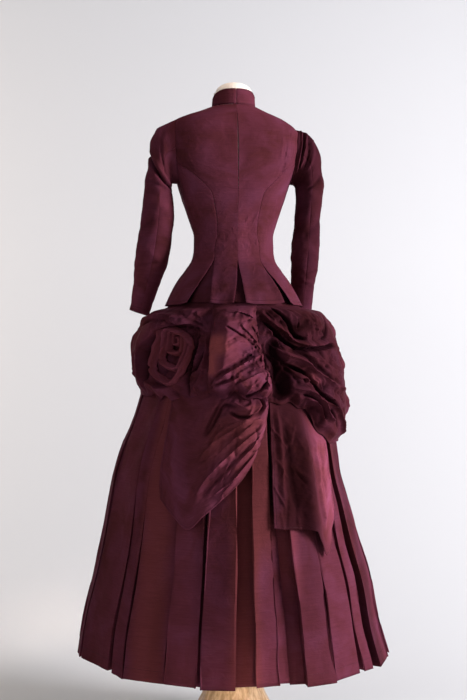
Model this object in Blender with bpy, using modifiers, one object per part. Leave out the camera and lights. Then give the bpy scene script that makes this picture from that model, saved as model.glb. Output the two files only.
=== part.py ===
# A bustle dress of the 1880s, worn by a limbless dress form on a wooden foot.
# +Z is up, -Y is the back of the dress with its bustle, +X is the wearer's right.
# The origin is the middle of the foot's flat underside. Tables are in millimetres and degrees.
# A "turn" is an angle round the body: 0 at the centre back, 90 at the wearer's right, 180 in front.
import math
from bisect import bisect_right
from collections import namedtuple

import bmesh
import bpy
from mathutils import Matrix, Vector

MM = 0.001

# ---- driving dimensions ----
WALL = 2.0             # a layer of cloth
SEAM = 0.3             # gap between two pieces at a seam
EASE = 3.6             # room between the bodice and the form
FORM_SEAT = 0.4        # room where the waistband and the collar hold the form
WAIST = 1185.0         # underside of the two waistbands
BAND_HEIGHT = 20.0
PEPLUM_HEM = 1070.0
NECKLINE = 1566.0
NECK_TOP = 1600.0
COLLAR_WALL = 2.4
COLLAR_RISE = 39.0     # height of the stand collar at the centre back
COLLAR_DROP = 12.0     # how much lower the collar is in front
FORM_BOTTOM = 935.0
ROUND_TURNS = 32       # segments round the form, its bands and its collar

Ring = namedtuple("Ring", "height left right back front widest square")

# outer face of the bodice, from the hem of its peplum up to the neckline
BODICE = [
    Ring(1070, 172, 170, 198, 117, 0, 2.10),
    Ring(1100, 158, 155, 178, 109, 0, 2.10),
    Ring(1130, 141, 138, 147, 101, 0, 2.10),
    Ring(1160, 119, 117, 110, 93, 0, 2.15),
    Ring(1185, 104, 103, 86, 86, 0, 2.20),
    Ring(1205, 100, 100, 81.5, 82.5, 0, 2.20),
    Ring(1240, 99, 99, 82, 89, 0, 2.20),
    Ring(1270, 107, 106, 86, 103, 0, 2.25),
    Ring(1300, 117, 116, 91, 117, 0, 2.30),
    Ring(1335, 129, 128, 96, 127, 0, 2.40),
    Ring(1377, 141, 141, 99, 126, 0, 2.60),
    Ring(1420, 155, 157, 98, 114, 0, 2.80),
    Ring(1460, 160, 164, 94, 100, 0, 2.90),
    Ring(1500, 158, 161, 88, 84, 0, 2.80),
    Ring(1514, 155, 151, 84.5, 77, 0, 2.70),
    Ring(1530, 146, 128, 79, 70, 0, 2.60),
    Ring(1541, 124, 106, 74.5, 64, 0, 2.40),
    Ring(1553, 87, 80, 67.5, 57.5, 0, 2.20),
    Ring(1566, 54.5, 54.5, 57, 50, 0, 2.00),
]

# outer faces of the skirt's pleats, from the hem up to the waistband
SKIRT = [
    Ring(200, 388, 396, 400, 288, 54, 2.00),
    Ring(300, 373, 366, 389, 272, 46, 2.00),
    Ring(400, 349, 346, 376, 256, 38, 2.00),
    Ring(500, 327, 312, 361, 238, 30, 2.00),
    Ring(600, 309, 284, 343, 218, 22, 2.00),
    Ring(660, 298, 266, 333, 205, 18, 2.00),
    Ring(730, 275, 254, 319, 187, 12, 2.00),
    Ring(780, 253, 246, 307, 174, 8, 2.00),
    Ring(820, 240, 240, 296, 163, 5, 2.00),
    Ring(900, 218, 220, 272, 143, 2, 2.00),
    Ring(950, 205, 205, 252, 131, 0, 2.00),
    Ring(1000, 189, 189, 226, 119, 0, 2.05),
    Ring(1050, 168, 168, 194, 107, 0, 2.10),
    Ring(1070, 157, 157, 179, 103, 0, 2.10),
    Ring(1100, 140, 140, 157, 96, 0, 2.10),
    Ring(1130, 122, 122, 127, 89, 0, 2.10),
    Ring(1160, 105, 105, 93, 82, 0, 2.15),
    Ring(1185, 94.5, 94.5, 76, 77, 0, 2.20),
]

# the stand collar's outer face and the form's hips, below the bodice
COLLAR = [
    Ring(1566, 54, 54, 56.5, 49.5, 0, 2.00),
    Ring(1606, 52, 52, 54.5, 47.5, 0, 2.00),
]
HIPS = [
    Ring(935, 124, 124, 94, 78, 0, 2.10),
    Ring(952, 133, 133, 101, 86, 0, 2.10),
    Ring(1000, 134, 134, 103, 89, 0, 2.10),
    Ring(1060, 126, 126, 98, 86, 0, 2.10),
    Ring(1110, 110, 110, 87, 79, 0, 2.15),
    Ring(1150, 98, 98, 78, 74, 0, 2.20),
]

# ---- bodice cut: where the seams run, as turns, the same on both sides above the waist ----
Seams = namedtuple("Seams", "height centre tab_edge side_back_edge underarm_back underarm_front")
SEAMS_LEFT = [
    Seams(1070, 7.0, 25.5, 46.0, 80, 102),
    Seams(1100, 5.2, 26.5, 42.5, 79, 102),
    Seams(1130, 3.4, 28.0, 39.0, 78, 102),
    Seams(1160, 1.6, 29.5, 35.0, 78, 102),
    Seams(1185, 0.0, 31.0, 31.0, 78, 102),
    Seams(1205, 0.0, 31.5, 31.5, 78, 102),
    Seams(1250, 0.0, 27.0, 27.0, 78, 102),
    Seams(1290, 0.0, 24.5, 24.5, 78, 102),
    Seams(1335, 0.0, 24.5, 24.5, 78, 102),
    Seams(1387, 0.0, 41.0, 41.0, 78, 102),
    Seams(1420, 0.0, 66.4, 66.4, 78, 102),
]
SEAMS_RIGHT = [
    Seams(1070, 1.5, 34.0, 40.5, 80, 102),
    Seams(1100, 1.0, 33.4, 38.0, 79, 102),
    Seams(1130, 0.7, 32.8, 35.6, 78, 102),
    Seams(1160, 0.3, 32.0, 33.0, 78, 102),
] + SEAMS_LEFT[4:-1] + [
    Seams(1420, 0.0, 64.9, 64.9, 78, 102),
]
BODICE_LEVELS = [1070, 1100, 1130, 1160, 1185, 1205, 1250, 1290, 1335, 1387, 1420,
                 1460, 1500, 1514, 1530, 1541, 1553, 1566]
SIDE_BACK_TOP = 1420.0
UNDERARM_TOP = 1387.0
Armhole = namedtuple("Armhole", "height rise turn")
ARMHOLES = {                   # middle, half the height, and half the width as a turn
    -1: Armhole(1456, 79, 25.0),
    1: Armhole(1444, 65, 25.0),
}
FRONT_LAP = 3.5               # turn by which the right front laps past the centre front
UNDERLAY_LEVELS = [1077, 1100, 1130, 1160, 1180]
UNDERLAY_TUCK = 5.0           # turn by which a pleat's underlay runs on behind each edge
UNDERLAY_SINKS = 3.0          # how much further in it lies at the peplum's hem

# ---- sleeves: rings that tilt from the armhole down to the cuff ----
Cuff = namedtuple("Cuff", "inner height tilt reach forward depth")
SLEEVE_LEFT = [
    Cuff(152, 1375, 74, 140, 0, 57),
    Cuff(154, 1371, 55, 98, -6, 55),
    Cuff(155, 1366, 32, 71, -12, 52),
    Cuff(154, 1354, 10, 71, -15, 48),
    Cuff(150, 1300, 4, 80, -10, 45),
    Cuff(154, 1240, 4, 82, 8, 43),
    Cuff(162, 1178, 6, 83, 34, 41),
    Cuff(171, 1148, 8, 75, 50, 38),
    Cuff(183, 1116, 10, 64, 68, 34),
    Cuff(195, 1082, 14, 57, 84, 31),
    Cuff(206, 1047, 18, 53, 100, 29),
]
SLEEVE_RIGHT = [
    Cuff(152, 1375, 74, 142, 0, 57),
    Cuff(154, 1371, 55, 101, -6, 55),
    Cuff(155, 1366, 32, 73, -12, 52),
    Cuff(155, 1354, 10, 70, -15, 48),
    Cuff(154, 1300, 3, 64, -10, 44),
    Cuff(151, 1240, 0, 69, 8, 42),
    Cuff(151, 1178, 0, 69, 34, 40),
    Cuff(153, 1148, 0, 65, 50, 38),
    Cuff(155, 1116, 0, 61, 68, 35),
    Cuff(157, 1082, 0, 58, 84, 32),
    Cuff(158, 1052, 0, 55, 98, 30),
]
SLEEVE_HALF_COLUMNS = 6
SLEEVE_SEAT = 2.0              # how far a sleeve's inner face stands off the bodice at its head

# ---- skirt pleats: the edges of each face as turns, and how far each edge is sunk ----
Pleat = namedtuple("Pleat", "start end sunk_start sunk_end")
BACK_PLEATS = [
    Pleat(-79.0, -58.5, 3, 9),
    Pleat(-56.5, -50.0, 12, 2),
    Pleat(-48.5, -33.5, 4, 10),
    Pleat(-31.0, -20.5, 0, 4),
    Pleat(-18.5, -6.5, 3, 0),
    Pleat(0.5, 9.0, 0, 9),
    Pleat(17.5, 28.5, 1, 0),
    Pleat(30.0, 42.0, 0, 3),
    Pleat(46.0, 52.5, 7, 9),
    Pleat(57.5, 70.0, 0, 0),
]
PLEATS = 24
PLEATS_A_BREADTH = 3
FRONT_FACE_SHARE = 0.7         # share of a front pleat's pitch that its face takes
PLEAT_DEPTH = 24.0             # at the hem
PLEAT_DEEPENS = 0.062          # depth gained for each mm below the waist
SUNK_FULLY_BELOW = 420.0       # the table's sunk edges are full from here down
UNDERCUT_SHARE = 0.45          # how far a fold tucks behind its face, per mm of depth
UNDERCUT_FROM = 6.0
SKIRT_LEVELS = [200, 420, 600, 740, 860, 960, 1030, 1096, 1128, 1160, 1185]

# ---- overskirt: ribs from the waist to the foot of each piece ----
# "outs" are how far a rib stands off the skirt at the levels above its foot, and last at its foot
SHELF = [1185, 1067, 1054, 1034, 985, 930, 880]
Rib = namedtuple("Rib", "turn foot outs")
PANNIER_LEFT = [
    Rib(-112, 905, (3, 6, 7, 8, 9, 8, 7, 6)),
    Rib(-102, 885, (3, 6, 20, 38, 44, 36, 22, 12)),
    Rib(-92, 862, (3, 6, 30, 60, 68, 52, 34, 16)),
    Rib(-82, 856, (3, 6, 36, 64, 72, 54, 36, 18)),
    Rib(-72, 852, (3, 6, 46, 62, 54, 34, 24, 16)),
    Rib(-60, 850, (3, 6, 40, 52, 26, 16, 16, 14)),
    Rib(-46, 848, (3, 6, 32, 40, 14, 12, 14, 16)),
    Rib(-34, 846, (3, 6, 24, 26, 12, 12, 14, 15)),
    Rib(-24.2, 848, (3, 6, 12, 12, 10, 11, 12, 12)),
]
CENTRE_DRAPE = [
    Rib(-23.8, 850, (3, 6, 14, 16, 14, 14, 13, 12)),
    Rib(-19, 853, (3, 6, 30, 44, 50, 50, 42, 26)),
    Rib(-11, 858, (3, 6, 38, 60, 78, 80, 62, 34)),
    Rib(-4, 852, (3, 6, 42, 54, 64, 68, 60, 36)),
    Rib(3, 844, (3, 6, 30, 38, 48, 52, 54, 38)),
    Rib(10.8, 846, (3, 6, 12, 16, 20, 22, 24, 20)),
]
PANNIER_RIGHT = [
    Rib(11.2, 842, (3, 6, 12, 16, 14, 14, 14, 14)),
    Rib(20, 838, (3, 6, 28, 36, 22, 30, 34, 26)),
    Rib(29, 828, (3, 6, 38, 52, 26, 40, 46, 24)),
    Rib(38, 790, (3, 6, 44, 60, 42, 46, 52, 26)),
    Rib(48, 750, (3, 6, 46, 62, 62, 54, 54, 24)),
    Rib(60, 736, (3, 6, 44, 60, 66, 60, 54, 22)),
    Rib(74, 738, (3, 6, 42, 56, 62, 58, 52, 20)),
    Rib(88, 742, (3, 6, 40, 54, 60, 56, 50, 20)),
    Rib(101, 800, (3, 6, 22, 32, 36, 32, 24, 12)),
    Rib(112, 880, (3, 6, 7, 8, 9, 9, 8, 7)),
]
Fold = namedtuple("Fold", "turn_a height_a turn_b height_b width rise")
FOLDS = {
    "pannier_left": [
        Fold(-29, 1022, -54, 1044, 15, 16),
        Fold(-54, 1044, -80, 1030, 20, 14),
        Fold(-84, 1030, -86, 900, 26, 12),
        Fold(-28, 1020, -58, 1014, 9, -16),
        Fold(-58, 1014, -74, 985, 11, -14),
        Fold(-72, 985, -72, 870, 13, -16),
        Fold(-30, 1008, -62, 990, 10, 10),
        Fold(-68, 890, -28, 862, 13, 14),
    ],
    "centre_drape": [
        Fold(-11.5, 1010, -13, 890, 9, 16),
        Fold(-4, 1016, -4, 900, 16, -8),
        Fold(7, 962, -10, 900, 10, 16),
        Fold(7, 940, -6, 884, 9, -14),
        Fold(8, 915, -8, 866, 10, 16),
        Fold(-10, 1016, -1, 982, 9, -18),
        Fold(-4, 1046, 7, 1032, 10, 14),
        Fold(-22, 1010, -22, 860, 8, -10),
    ],
    "pannier_right": [
        Fold(19, 1056, 34, 955, 12, -26),
        Fold(62, 1010, 38, 952, 12, -22),
        Fold(34, 946, 84, 952, 11, -18),
        Fold(42, 1046, 40, 985, 22, 16),
        Fold(15, 985, 34, 915, 12, 18),
        Fold(34, 915, 78, 872, 12, 22),
        Fold(20, 930, 66, 842, 10, -14),
        Fold(22, 895, 44, 846, 12, 18),
        Fold(44, 846, 58, 762, 12, 16),
        Fold(36, 836, 44, 790, 9, -10),
        Fold(13, 1010, 13, 850, 9, -8),
    ],
}
UNDER_PEPLUM = [1160, 1128, 1096]     # levels of the drapery that the peplum hides
SHELF_TOP = 1067.0                     # where the drapery comes out from under it
DRAPE_ROWS = [0, 0.06, 0.14, 0.23, 0.33, 0.43, 0.53, 0.63, 0.73, 0.82, 0.91, 1]   # and on down

Tail = namedtuple("Tail", "top_turn top foot_turn foot outs")
TAIL_LEVELS = [0, 0.1, 0.2, 0.4, 0.65, 0.85, 1]
TAIL_LEFT = [
    Tail(-47, 884, -41, 617, (2.4, 4, 5, 6, 6, 5, 4)),
    Tail(-38, 884, -34, 583, (2.4, 5, 7, 9, 10, 9, 6)),
    Tail(-28, 882, -26.5, 552, (2.4, 5, 8, 11, 12, 10, 6)),
    Tail(-18, 880, -20, 582, (2.4, 6, 10, 16, 16, 13, 8)),
    Tail(-9, 872, -12, 622, (2.4, 7, 28, 30, 24, 18, 10)),
    Tail(0, 868, -5, 660, (2.4, 8, 40, 46, 34, 24, 12)),
    Tail(6, 866, 1, 706, (2.4, 8, 38, 44, 36, 24, 10)),
    Tail(10, 866, 6, 752, (2.4, 8, 20, 26, 24, 16, 6)),
]
TAIL_RIGHT = [
    Tail(11.5, 860, 9.5, 556, (2.4, 5, 6, 6, 6, 6, 5)),
    Tail(17, 858, 15, 552, (2.4, 6, 8, 9, 8, 8, 6)),
    Tail(23, 850, 21.5, 550, (2.4, 7, 10, 12, 12, 10, 8)),
    Tail(28.5, 840, 27.5, 545, (2.4, 8, 14, 22, 24, 20, 16)),
    Tail(35, 810, 33, 487, (2.4, 8, 12, 16, 16, 14, 12)),
    Tail(42, 780, 39, 535, (2.4, 7, 9, 12, 12, 12, 10)),
    Tail(50, 770, 45.5, 590, (2.4, 6, 7, 8, 8, 8, 7)),
]
TAIL_FOLDS = {
    "tail_left": [
        Fold(4, 800, -18, 640, 9, 8),
        Fold(2, 770, -22, 600, 8, -6),
        Fold(3, 740, -16, 615, 8, 7),
        Fold(-16, 860, -24, 740, 9, -8),
    ],
    "tail_right": [
        Fold(19, 760, 21, 620, 11, -4),
    ],
}
TAIL_ROWS = [0, 0.1, 0.2, 0.32, 0.46, 0.6, 0.74, 0.87, 1]
TAIL_SEAT = 2.4                # the closest that a tail's face comes to the skirt's
ROUND_DEGREE = 5.3             # mm of arc in a degree of turn, out where the drapery hangs

APRON_ROWS = [0, 0.07, 0.14, 0.21, 0.28, 0.36, 0.44, 0.52, 0.60, 0.68, 0.76, 0.88, 1]
APRON_SIDE_FOOT = 880.0
APRON_DIP = 170.0              # how much lower the apron hangs in front than at its sides
APRON_COLUMNS = 12
SWAG_PITCH = 98.0
SWAG_RISE = 17.0
SWAG_SAG = 80.0

# ---- rosette: a length of cloth wound into a flat spiral on the left pannier ----
ROSETTE_TURN = -43.0
ROSETTE_HEIGHT = 957.0
ROSETTE_RADIUS = 70.0
ROSETTE_EYE = 7.0
ROSETTE_CROWN = 34.0
ROSETTE_RIDGE = 11.0
ROSETTE_PITCH = 29.0
ROSETTE_LIFT = 6.5
ROSETTE_ROWS = 9
ROSETTE_COLUMNS = 18

# ---- stand ----
Turned = namedtuple("Turned", "radius height")
FOOT_PROFILE = [
    Turned(0, 186), Turned(30, 186), Turned(44, 174), Turned(56, 158), Turned(66, 138),
    Turned(73, 122), Turned(82, 100), Turned(97, 72), Turned(122, 42), Turned(150, 22),
    Turned(158, 12), Turned(156, 0), Turned(0, 0),
]
FOOT_STAVES = 16
POLE_RADIUS = 15.0
CAP_RADIUS = (46.0, 47.0, 27.0)

# ---- buttons ----
BUTTONS = 11
BUTTON_RADIUS = 6.0
BUTTON_CROWN = 3.6
BUTTON_THICK = 3.2
BUTTON_TOP = 1540.0
BUTTON_FOOT = 1092.0
BUTTON_SEAT = 0.35

SILK = ("burgundy silk taffeta", (0.115, 0.022, 0.035), 0.38, 0.0)
JERSEY = ("ivory jersey", (0.80, 0.74, 0.66), 0.85, 0.0)
WOOD = ("waxed beech", (0.52, 0.32, 0.17), 0.45, 0.0)
STEEL = ("painted steel tube", (0.05, 0.045, 0.045), 0.35, 0.9)


# ---------------------------------------------------------------- general tools

def clear_scene():
    for item in list(bpy.data.objects):
        bpy.data.objects.remove(item, do_unlink=True)


def finish_material(finish):
    name, colour, roughness, metallic = finish
    material = bpy.data.materials.get(name) or bpy.data.materials.new(name)
    material.use_nodes = True
    shader = material.node_tree.nodes["Principled BSDF"]
    shader.inputs["Base Color"].default_value = (*colour, 1.0)
    shader.inputs["Roughness"].default_value = roughness
    shader.inputs["Metallic"].default_value = metallic
    return material


def keep(name, bm, finish, crease=50.0):
    # turns a bmesh into a named object of the part, shaded smooth but for its hard edges
    bmesh.ops.recalc_face_normals(bm, faces=bm.faces)
    mesh = bpy.data.meshes.new(name)
    bm.to_mesh(mesh)
    bm.free()
    mesh.shade_smooth()
    mesh.set_sharp_from_angle(angle=math.radians(crease))
    piece = bpy.data.objects.new(name, mesh)
    own = finish_material(finish).copy()
    own.name = name + " " + finish[0]
    mesh.materials.append(own)
    bpy.data.collections[COLLECTION].objects.link(piece)
    return piece


def curve_through(points):
    # a smooth curve through rising points that never swings past them; straight beyond its ends
    xs = [x for x, _ in points]
    ys = [y for _, y in points]
    steps = [(ys[k + 1] - ys[k]) / (xs[k + 1] - xs[k]) for k in range(len(xs) - 1)]
    inner = [2 * a * b / (a + b) if a * b > 0 else 0.0 for a, b in zip(steps, steps[1:])]
    slopes = [steps[0]] + inner + [steps[-1]]

    def value(x):
        if x <= xs[0]:
            return ys[0] + (x - xs[0]) * slopes[0]
        if x >= xs[-1]:
            return ys[-1] + (x - xs[-1]) * slopes[-1]
        k = bisect_right(xs, x) - 1
        width = xs[k + 1] - xs[k]
        t = (x - xs[k]) / width
        rest = 1 - t
        ends = ys[k] * (1 + 2 * t) * rest * rest + ys[k + 1] * t * t * (3 - 2 * t)
        return ends + width * t * rest * (slopes[k] * rest - slopes[k + 1] * t)

    return value


def column_curve(rows, key, column):
    rising = sorted(rows, key=lambda row: getattr(row, key))
    return curve_through([(getattr(row, key), getattr(row, column)) for row in rising])


def ring_surface(rings):
    # the point at a turn and a height on a stack of rounded rings
    shape = {name: column_curve(rings, "height", name) for name in Ring._fields[1:]}

    def point(turn, height):
        across = math.sin(math.radians(turn))
        along = math.cos(math.radians(turn))
        power = 2 / shape["square"](height)
        widest = shape["widest"](height)
        side = shape["right" if across > 0 else "left"](height)
        depth = shape["back"](height) + widest if along > 0 else shape["front"](height) - widest
        x = side * math.copysign(abs(across) ** power, across)
        y = widest - depth * math.copysign(abs(along) ** power, along)
        return Vector((x, y, height))

    return point


def facing(place, u, v, step_u, step_v):
    # the unit normal of a surface, from points a small step either side
    along = place(u + step_u, v) - place(u - step_u, v)
    up = place(u, v + step_v) - place(u, v - step_v)
    return along.cross(up).normalized()


def outward(place, turn, height):
    return facing(place, turn, height, 0.5, 1.0)


def moved(place, distance):
    # the same surface, moved out by a distance along its own normals
    return lambda turn, height: place(turn, height) + distance * outward(place, turn, height)


def spread(first, last, count):
    return [first + (last - first) * k / (count - 1) for k in range(count)]


def blend(a, b, share):
    return a + (b - a) * share


def smooth_step(x):
    t = min(max(x, 0.0), 1.0)
    return t * t * (3 - 2 * t)


def wall_of_cloth(name, outer, inner, finish, closed=False):
    # a thin solid between two grids of points; closed joins the last column to the first
    bm = bmesh.new()
    rows, columns = len(outer), len(outer[0])
    skins = [[[bm.verts.new(point * MM) for point in row] for row in grid] for grid in (outer, inner)]
    face = skins[0]
    for j in range(rows - 1):
        for i in range(columns if closed else columns - 1):
            k = (i + 1) % columns
            straight = (face[j][i].co - face[j + 1][k].co).length
            other = (face[j][k].co - face[j + 1][i].co).length
            halves = ((0, 1, 2), (0, 2, 3)) if straight <= other else ((0, 1, 3), (1, 2, 3))
            for skin in skins:
                corners = (skin[j][i], skin[j][k], skin[j + 1][k], skin[j + 1][i])
                for half in halves:
                    bm.faces.new([corners[n] for n in half])
    if closed:
        loops = [[(j, i) for i in range(columns)] for j in (0, rows - 1)]
    else:
        top = [(0, i) for i in range(columns)]
        right = [(j, columns - 1) for j in range(1, rows)]
        bottom = [(rows - 1, i) for i in range(columns - 2, -1, -1)]
        left = [(j, 0) for j in range(rows - 2, 0, -1)]
        loops = [top + right + bottom + left]
    for loop in loops:
        for (j, i), (m, n) in zip(loop, loop[1:] + loop[:1]):
            bm.faces.new((skins[0][j][i], skins[0][m][n], skins[1][m][n], skins[1][j][i]))
    return keep(name, bm, finish)


def cloth(name, place, columns, rows, finish=SILK, wall=WALL, steps=(0.01, 0.01), closed=False):
    # a wall of cloth whose outer face is place(u, v); u runs with the turn, v runs up
    outer = [[place(u, v) for u in columns] for v in rows]
    inner = [[place(u, v) - wall * facing(place, u, v, *steps) for u in columns] for v in rows]
    return wall_of_cloth(name, outer, inner, finish, closed)


def solid_rings(name, rings, finish):
    # a solid through closed rings of points, with flat ends
    bm = bmesh.new()
    loops = [[bm.verts.new(point * MM) for point in ring] for ring in rings]
    count = len(loops[0])
    for lower, upper in zip(loops, loops[1:]):
        for i in range(count):
            k = (i + 1) % count
            bm.faces.new((lower[i], lower[k], upper[k], upper[i]))
    bm.faces.new(loops[0])
    bm.faces.new(loops[-1])
    return keep(name, bm, finish)


# ---------------------------------------------------------------- surfaces of the garment

bodice_face = ring_surface(BODICE)
skirt_face = ring_surface(SKIRT)
collar_face = ring_surface(COLLAR)
hips_face = ring_surface(HIPS)


def armhole_turn(side, height):
    # half the width of the armhole at a height, as a turn; side is -1 left, 1 right
    hole = ARMHOLES[side]
    share = (height - hole.height) / hole.rise
    return hole.turn * math.sqrt(max(0.0, 1 - share * share))


def seam_turn(surface, turn, height, way):
    # the turn that leaves half a seam's gap beside an edge, to one way (1) or the other (-1)
    edge = surface(turn, height)
    low, high = 0.0, 2.0
    for _ in range(24):
        middle = (low + high) / 2
        if (surface(turn + way * middle, height) - edge).length < SEAM / 2:
            low = middle
        else:
            high = middle
    return turn + way * high


def laid_on(name, surface, spots, finish=SILK, wall=WALL):
    # a wall of cloth on a surface, from rows of spots, each a turn and a height
    under = moved(surface, -wall)
    outer = [[surface(turn, height) for turn, height in row] for row in spots]
    inner = [[under(turn, height) for turn, height in row] for row in spots]
    return wall_of_cloth(name, outer, inner, finish)


def panel(name, side, edge_a, edge_b, levels, columns):
    # a bodice panel between two edges, each a turn for every height; side is -1 left, 1 right
    spots = []
    for height in levels:
        first = seam_turn(bodice_face, side * edge_a(height), height, side)
        last = seam_turn(bodice_face, side * edge_b(height), height, -side)
        spots.append([(blend(first, last, u), height) for u in columns])
    laid_on(name, bodice_face, spots)


# ---------------------------------------------------------------- bodice

def make_bodice():
    levels = BODICE_LEVELS[:-1] + [NECKLINE - SEAM]
    up_to_side_back = [z for z in levels if z <= SIDE_BACK_TOP]
    for side, name, seams in ((-1, "left", SEAMS_LEFT), (1, "right", SEAMS_RIGHT)):
        edge = {key: column_curve(seams, "height", key) for key in Seams._fields[1:]}

        def centre(height):
            return edge["centre"](height) if height < WAIST else 0.0

        def back_edge(height):
            if height <= SIDE_BACK_TOP:
                return edge["tab_edge"](height)
            return 90 - armhole_turn(side, height)

        def underarm_back(height):
            if height > UNDERARM_TOP:
                return 90 - armhole_turn(side, height)
            return edge["underarm_back"](height)

        def underarm_front(height):
            if height > UNDERARM_TOP:
                return 90 + armhole_turn(side, height)
            return edge["underarm_front"](height)

        panel("bodice_back_" + name, side, centre, back_edge, levels, spread(0, 1, 6))
        panel("bodice_side_back_" + name, side, edge["side_back_edge"], underarm_back,
              up_to_side_back, spread(0, 1, 4))
        make_underarm(name, side, underarm_back, underarm_front)
        make_front(name, side, underarm_front, levels)


def make_underarm(name, side, back, front):
    # the small side panel below the armhole; its top follows the armhole's lower curve
    hole = ARMHOLES[side]
    spots = []
    for height in [z for z in BODICE_LEVELS if z <= UNDERARM_TOP]:
        row = []
        first = seam_turn(bodice_face, side * back(height), height, side)
        last = seam_turn(bodice_face, side * front(height), height, -side)
        for turn in spread(first, last, 4):
            share = min(abs(abs(turn) - 90) / hole.turn, 1)
            curve = hole.height - hole.rise * math.sqrt(1 - share * share)
            row.append((turn, min(height, max(curve, UNDERARM_TOP - 12))))
        spots.append(row)
    laid_on("bodice_side_" + name, bodice_face, spots)


def make_front(name, side, side_edge, levels):
    # the front from its side seam to the centre front; the right front laps past the centre
    meeting = side * 180 + FRONT_LAP
    spots = []
    for height in levels:
        first = seam_turn(bodice_face, side * side_edge(height), height, side)
        last = seam_turn(bodice_face, meeting, height, -side)
        turns = spread(first, 180, 7) + [last] if side > 0 else spread(first, last, 7)
        spots.append([(turn, height) for turn in turns])
    laid_on("bodice_front_" + name, bodice_face, spots)


def make_pleat_underlays():
    # the inside of each pleat of the peplum, seen between the edges that part below the waist
    for name, first_side, last_side, first_seams, last_seams, keys in (
            ("left", -1, -1, SEAMS_LEFT, SEAMS_LEFT, ("side_back_edge", "tab_edge")),
            ("centre", -1, 1, SEAMS_LEFT, SEAMS_RIGHT, ("centre", "centre")),
            ("right", 1, 1, SEAMS_RIGHT, SEAMS_RIGHT, ("tab_edge", "side_back_edge"))):
        first = column_curve(first_seams, "height", keys[0])
        last = column_curve(last_seams, "height", keys[1])

        def sunk(turn, height):
            depth = WALL + 1.0 + UNDERLAY_SINKS * smooth_step((1160 - height) / 90)
            return moved(bodice_face, -depth)(turn, height)

        spots = []
        for height in UNDERLAY_LEVELS:
            turns = (first_side * first(height) - UNDERLAY_TUCK,
                     last_side * last(height) + UNDERLAY_TUCK)
            spots.append([(turn, height) for turn in spread(*turns, 5)])
        laid_on("peplum_pleat_" + name, sunk, spots)


def make_collar():
    # two halves of the stand collar, meeting in a seam at the centre back
    step = 360 / ROUND_TURNS
    half = [0.2] + [step * k for k in range(1, ROUND_TURNS // 2)] + [179.8]
    for side, name in ((-1, "left"), (1, "right")):
        spots = []
        for share in (0, 1):
            row = []
            for turn in half:
                front_share = (1 - math.cos(math.radians(turn))) / 2
                top = NECKLINE + COLLAR_RISE - COLLAR_DROP * smooth_step(front_share * 1.6)
                row.append((side * turn, blend(NECKLINE, top, share)))
            spots.append(row)
        laid_on("collar_" + name, collar_face, spots, wall=COLLAR_WALL)


def make_buttons():
    # covered buttons down the right front, seated on the straight stretches between its rows
    levels = BODICE_LEVELS
    for k in range(BUTTONS):
        height = blend(BUTTON_TOP, BUTTON_FOOT, k / (BUTTONS - 1))
        row = bisect_right(levels, height) - 1
        lower = bodice_face(180, levels[row])
        upper = bodice_face(180, levels[row + 1])
        share = (height - levels[row]) / (levels[row + 1] - levels[row])
        up = (upper - lower).normalized()
        out = up.cross(Vector((1, 0, 0)))
        seat = lower.lerp(upper, share) + out * BUTTON_SEAT
        bm = bmesh.new()
        bmesh.ops.create_cone(bm, cap_ends=True, segments=10, radius1=BUTTON_RADIUS * MM,
                              radius2=BUTTON_CROWN * MM, depth=BUTTON_THICK * MM)
        turn = out.to_track_quat("Z", "Y").to_matrix().to_4x4()
        centre = (seat + out * (BUTTON_THICK / 2)) * MM
        bmesh.ops.transform(bm, matrix=Matrix.Translation(centre) @ turn, verts=bm.verts)
        keep("button_%02d" % (k + 1), bm, SILK, 30)


# ---------------------------------------------------------------- sleeves

def make_sleeves():
    # each sleeve is an upper and an under piece that meet along the front and back of the arm
    for side, name, rows in ((-1, "left", SLEEVE_LEFT), (1, "right", SLEEVE_RIGHT)):
        places = {key: curve_through([(k + 1, getattr(row, key)) for k, row in enumerate(rows)])
                  for key in Cuff._fields}
        head = moved(bodice_face, WALL + SLEEVE_SEAT)
        hole = ARMHOLES[side]

        def armhole(angle):
            # the ring where the sleeve is set in, just outside the bodice's armhole
            turn = 90 - 1.05 * hole.turn * math.sin(angle)
            height = hole.height - 1.04 * hole.rise * math.cos(angle)
            return head(side * turn, height)

        def ring(angle, station):
            tilt = math.radians(places["tilt"](station))
            reach = places["reach"](station) / 2
            across = Vector((side * math.cos(tilt), 0, math.sin(tilt)))
            middle = Vector((side * places["inner"](station), places["forward"](station),
                             places["height"](station))) + across * reach
            deep = places["depth"](station) * math.sin(angle)
            return middle - across * (reach * math.cos(angle)) - Vector((0, deep, 0))

        def place(angle, station):
            if station < 1:
                return armhole(angle).lerp(ring(angle, 1), max(station, 0))
            return ring(angle, station)

        quarter = math.pi / 2
        gap = 0.006
        stations = list(range(len(rows) + 1))
        lower = spread(gap - quarter, quarter - gap, SLEEVE_HALF_COLUMNS)
        upper = spread(quarter + gap, 3 * quarter - gap, SLEEVE_HALF_COLUMNS)
        for part, angles in (("under", lower), ("upper", upper)):
            outer = [[place(angle, s) for angle in angles] for s in stations]
            inner = [[place(angle, s) - WALL * sleeve_normal(place, angle, s, side)
                      for angle in angles] for s in stations]
            wall_of_cloth("sleeve_%s_%s" % (part, name), outer, inner, SILK)


def sleeve_normal(place, angle, station, side):
    station = max(station, 0.02)
    return side * facing(place, angle, station, 0.02, 0.02)


# ---------------------------------------------------------------- skirt

def all_pleats():
    first = BACK_PLEATS[-1].end
    left = 360 + BACK_PLEATS[0].start - first
    plain = PLEATS - len(BACK_PLEATS)
    pitch = left / (plain + (1 - FRONT_FACE_SHARE))
    gap = pitch * (1 - FRONT_FACE_SHARE)
    made = []
    for k in range(plain):
        start = first + gap + pitch * k
        made.append(Pleat(start, start + pitch * FRONT_FACE_SHARE, 0, 3))
    return BACK_PLEATS + made


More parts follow.
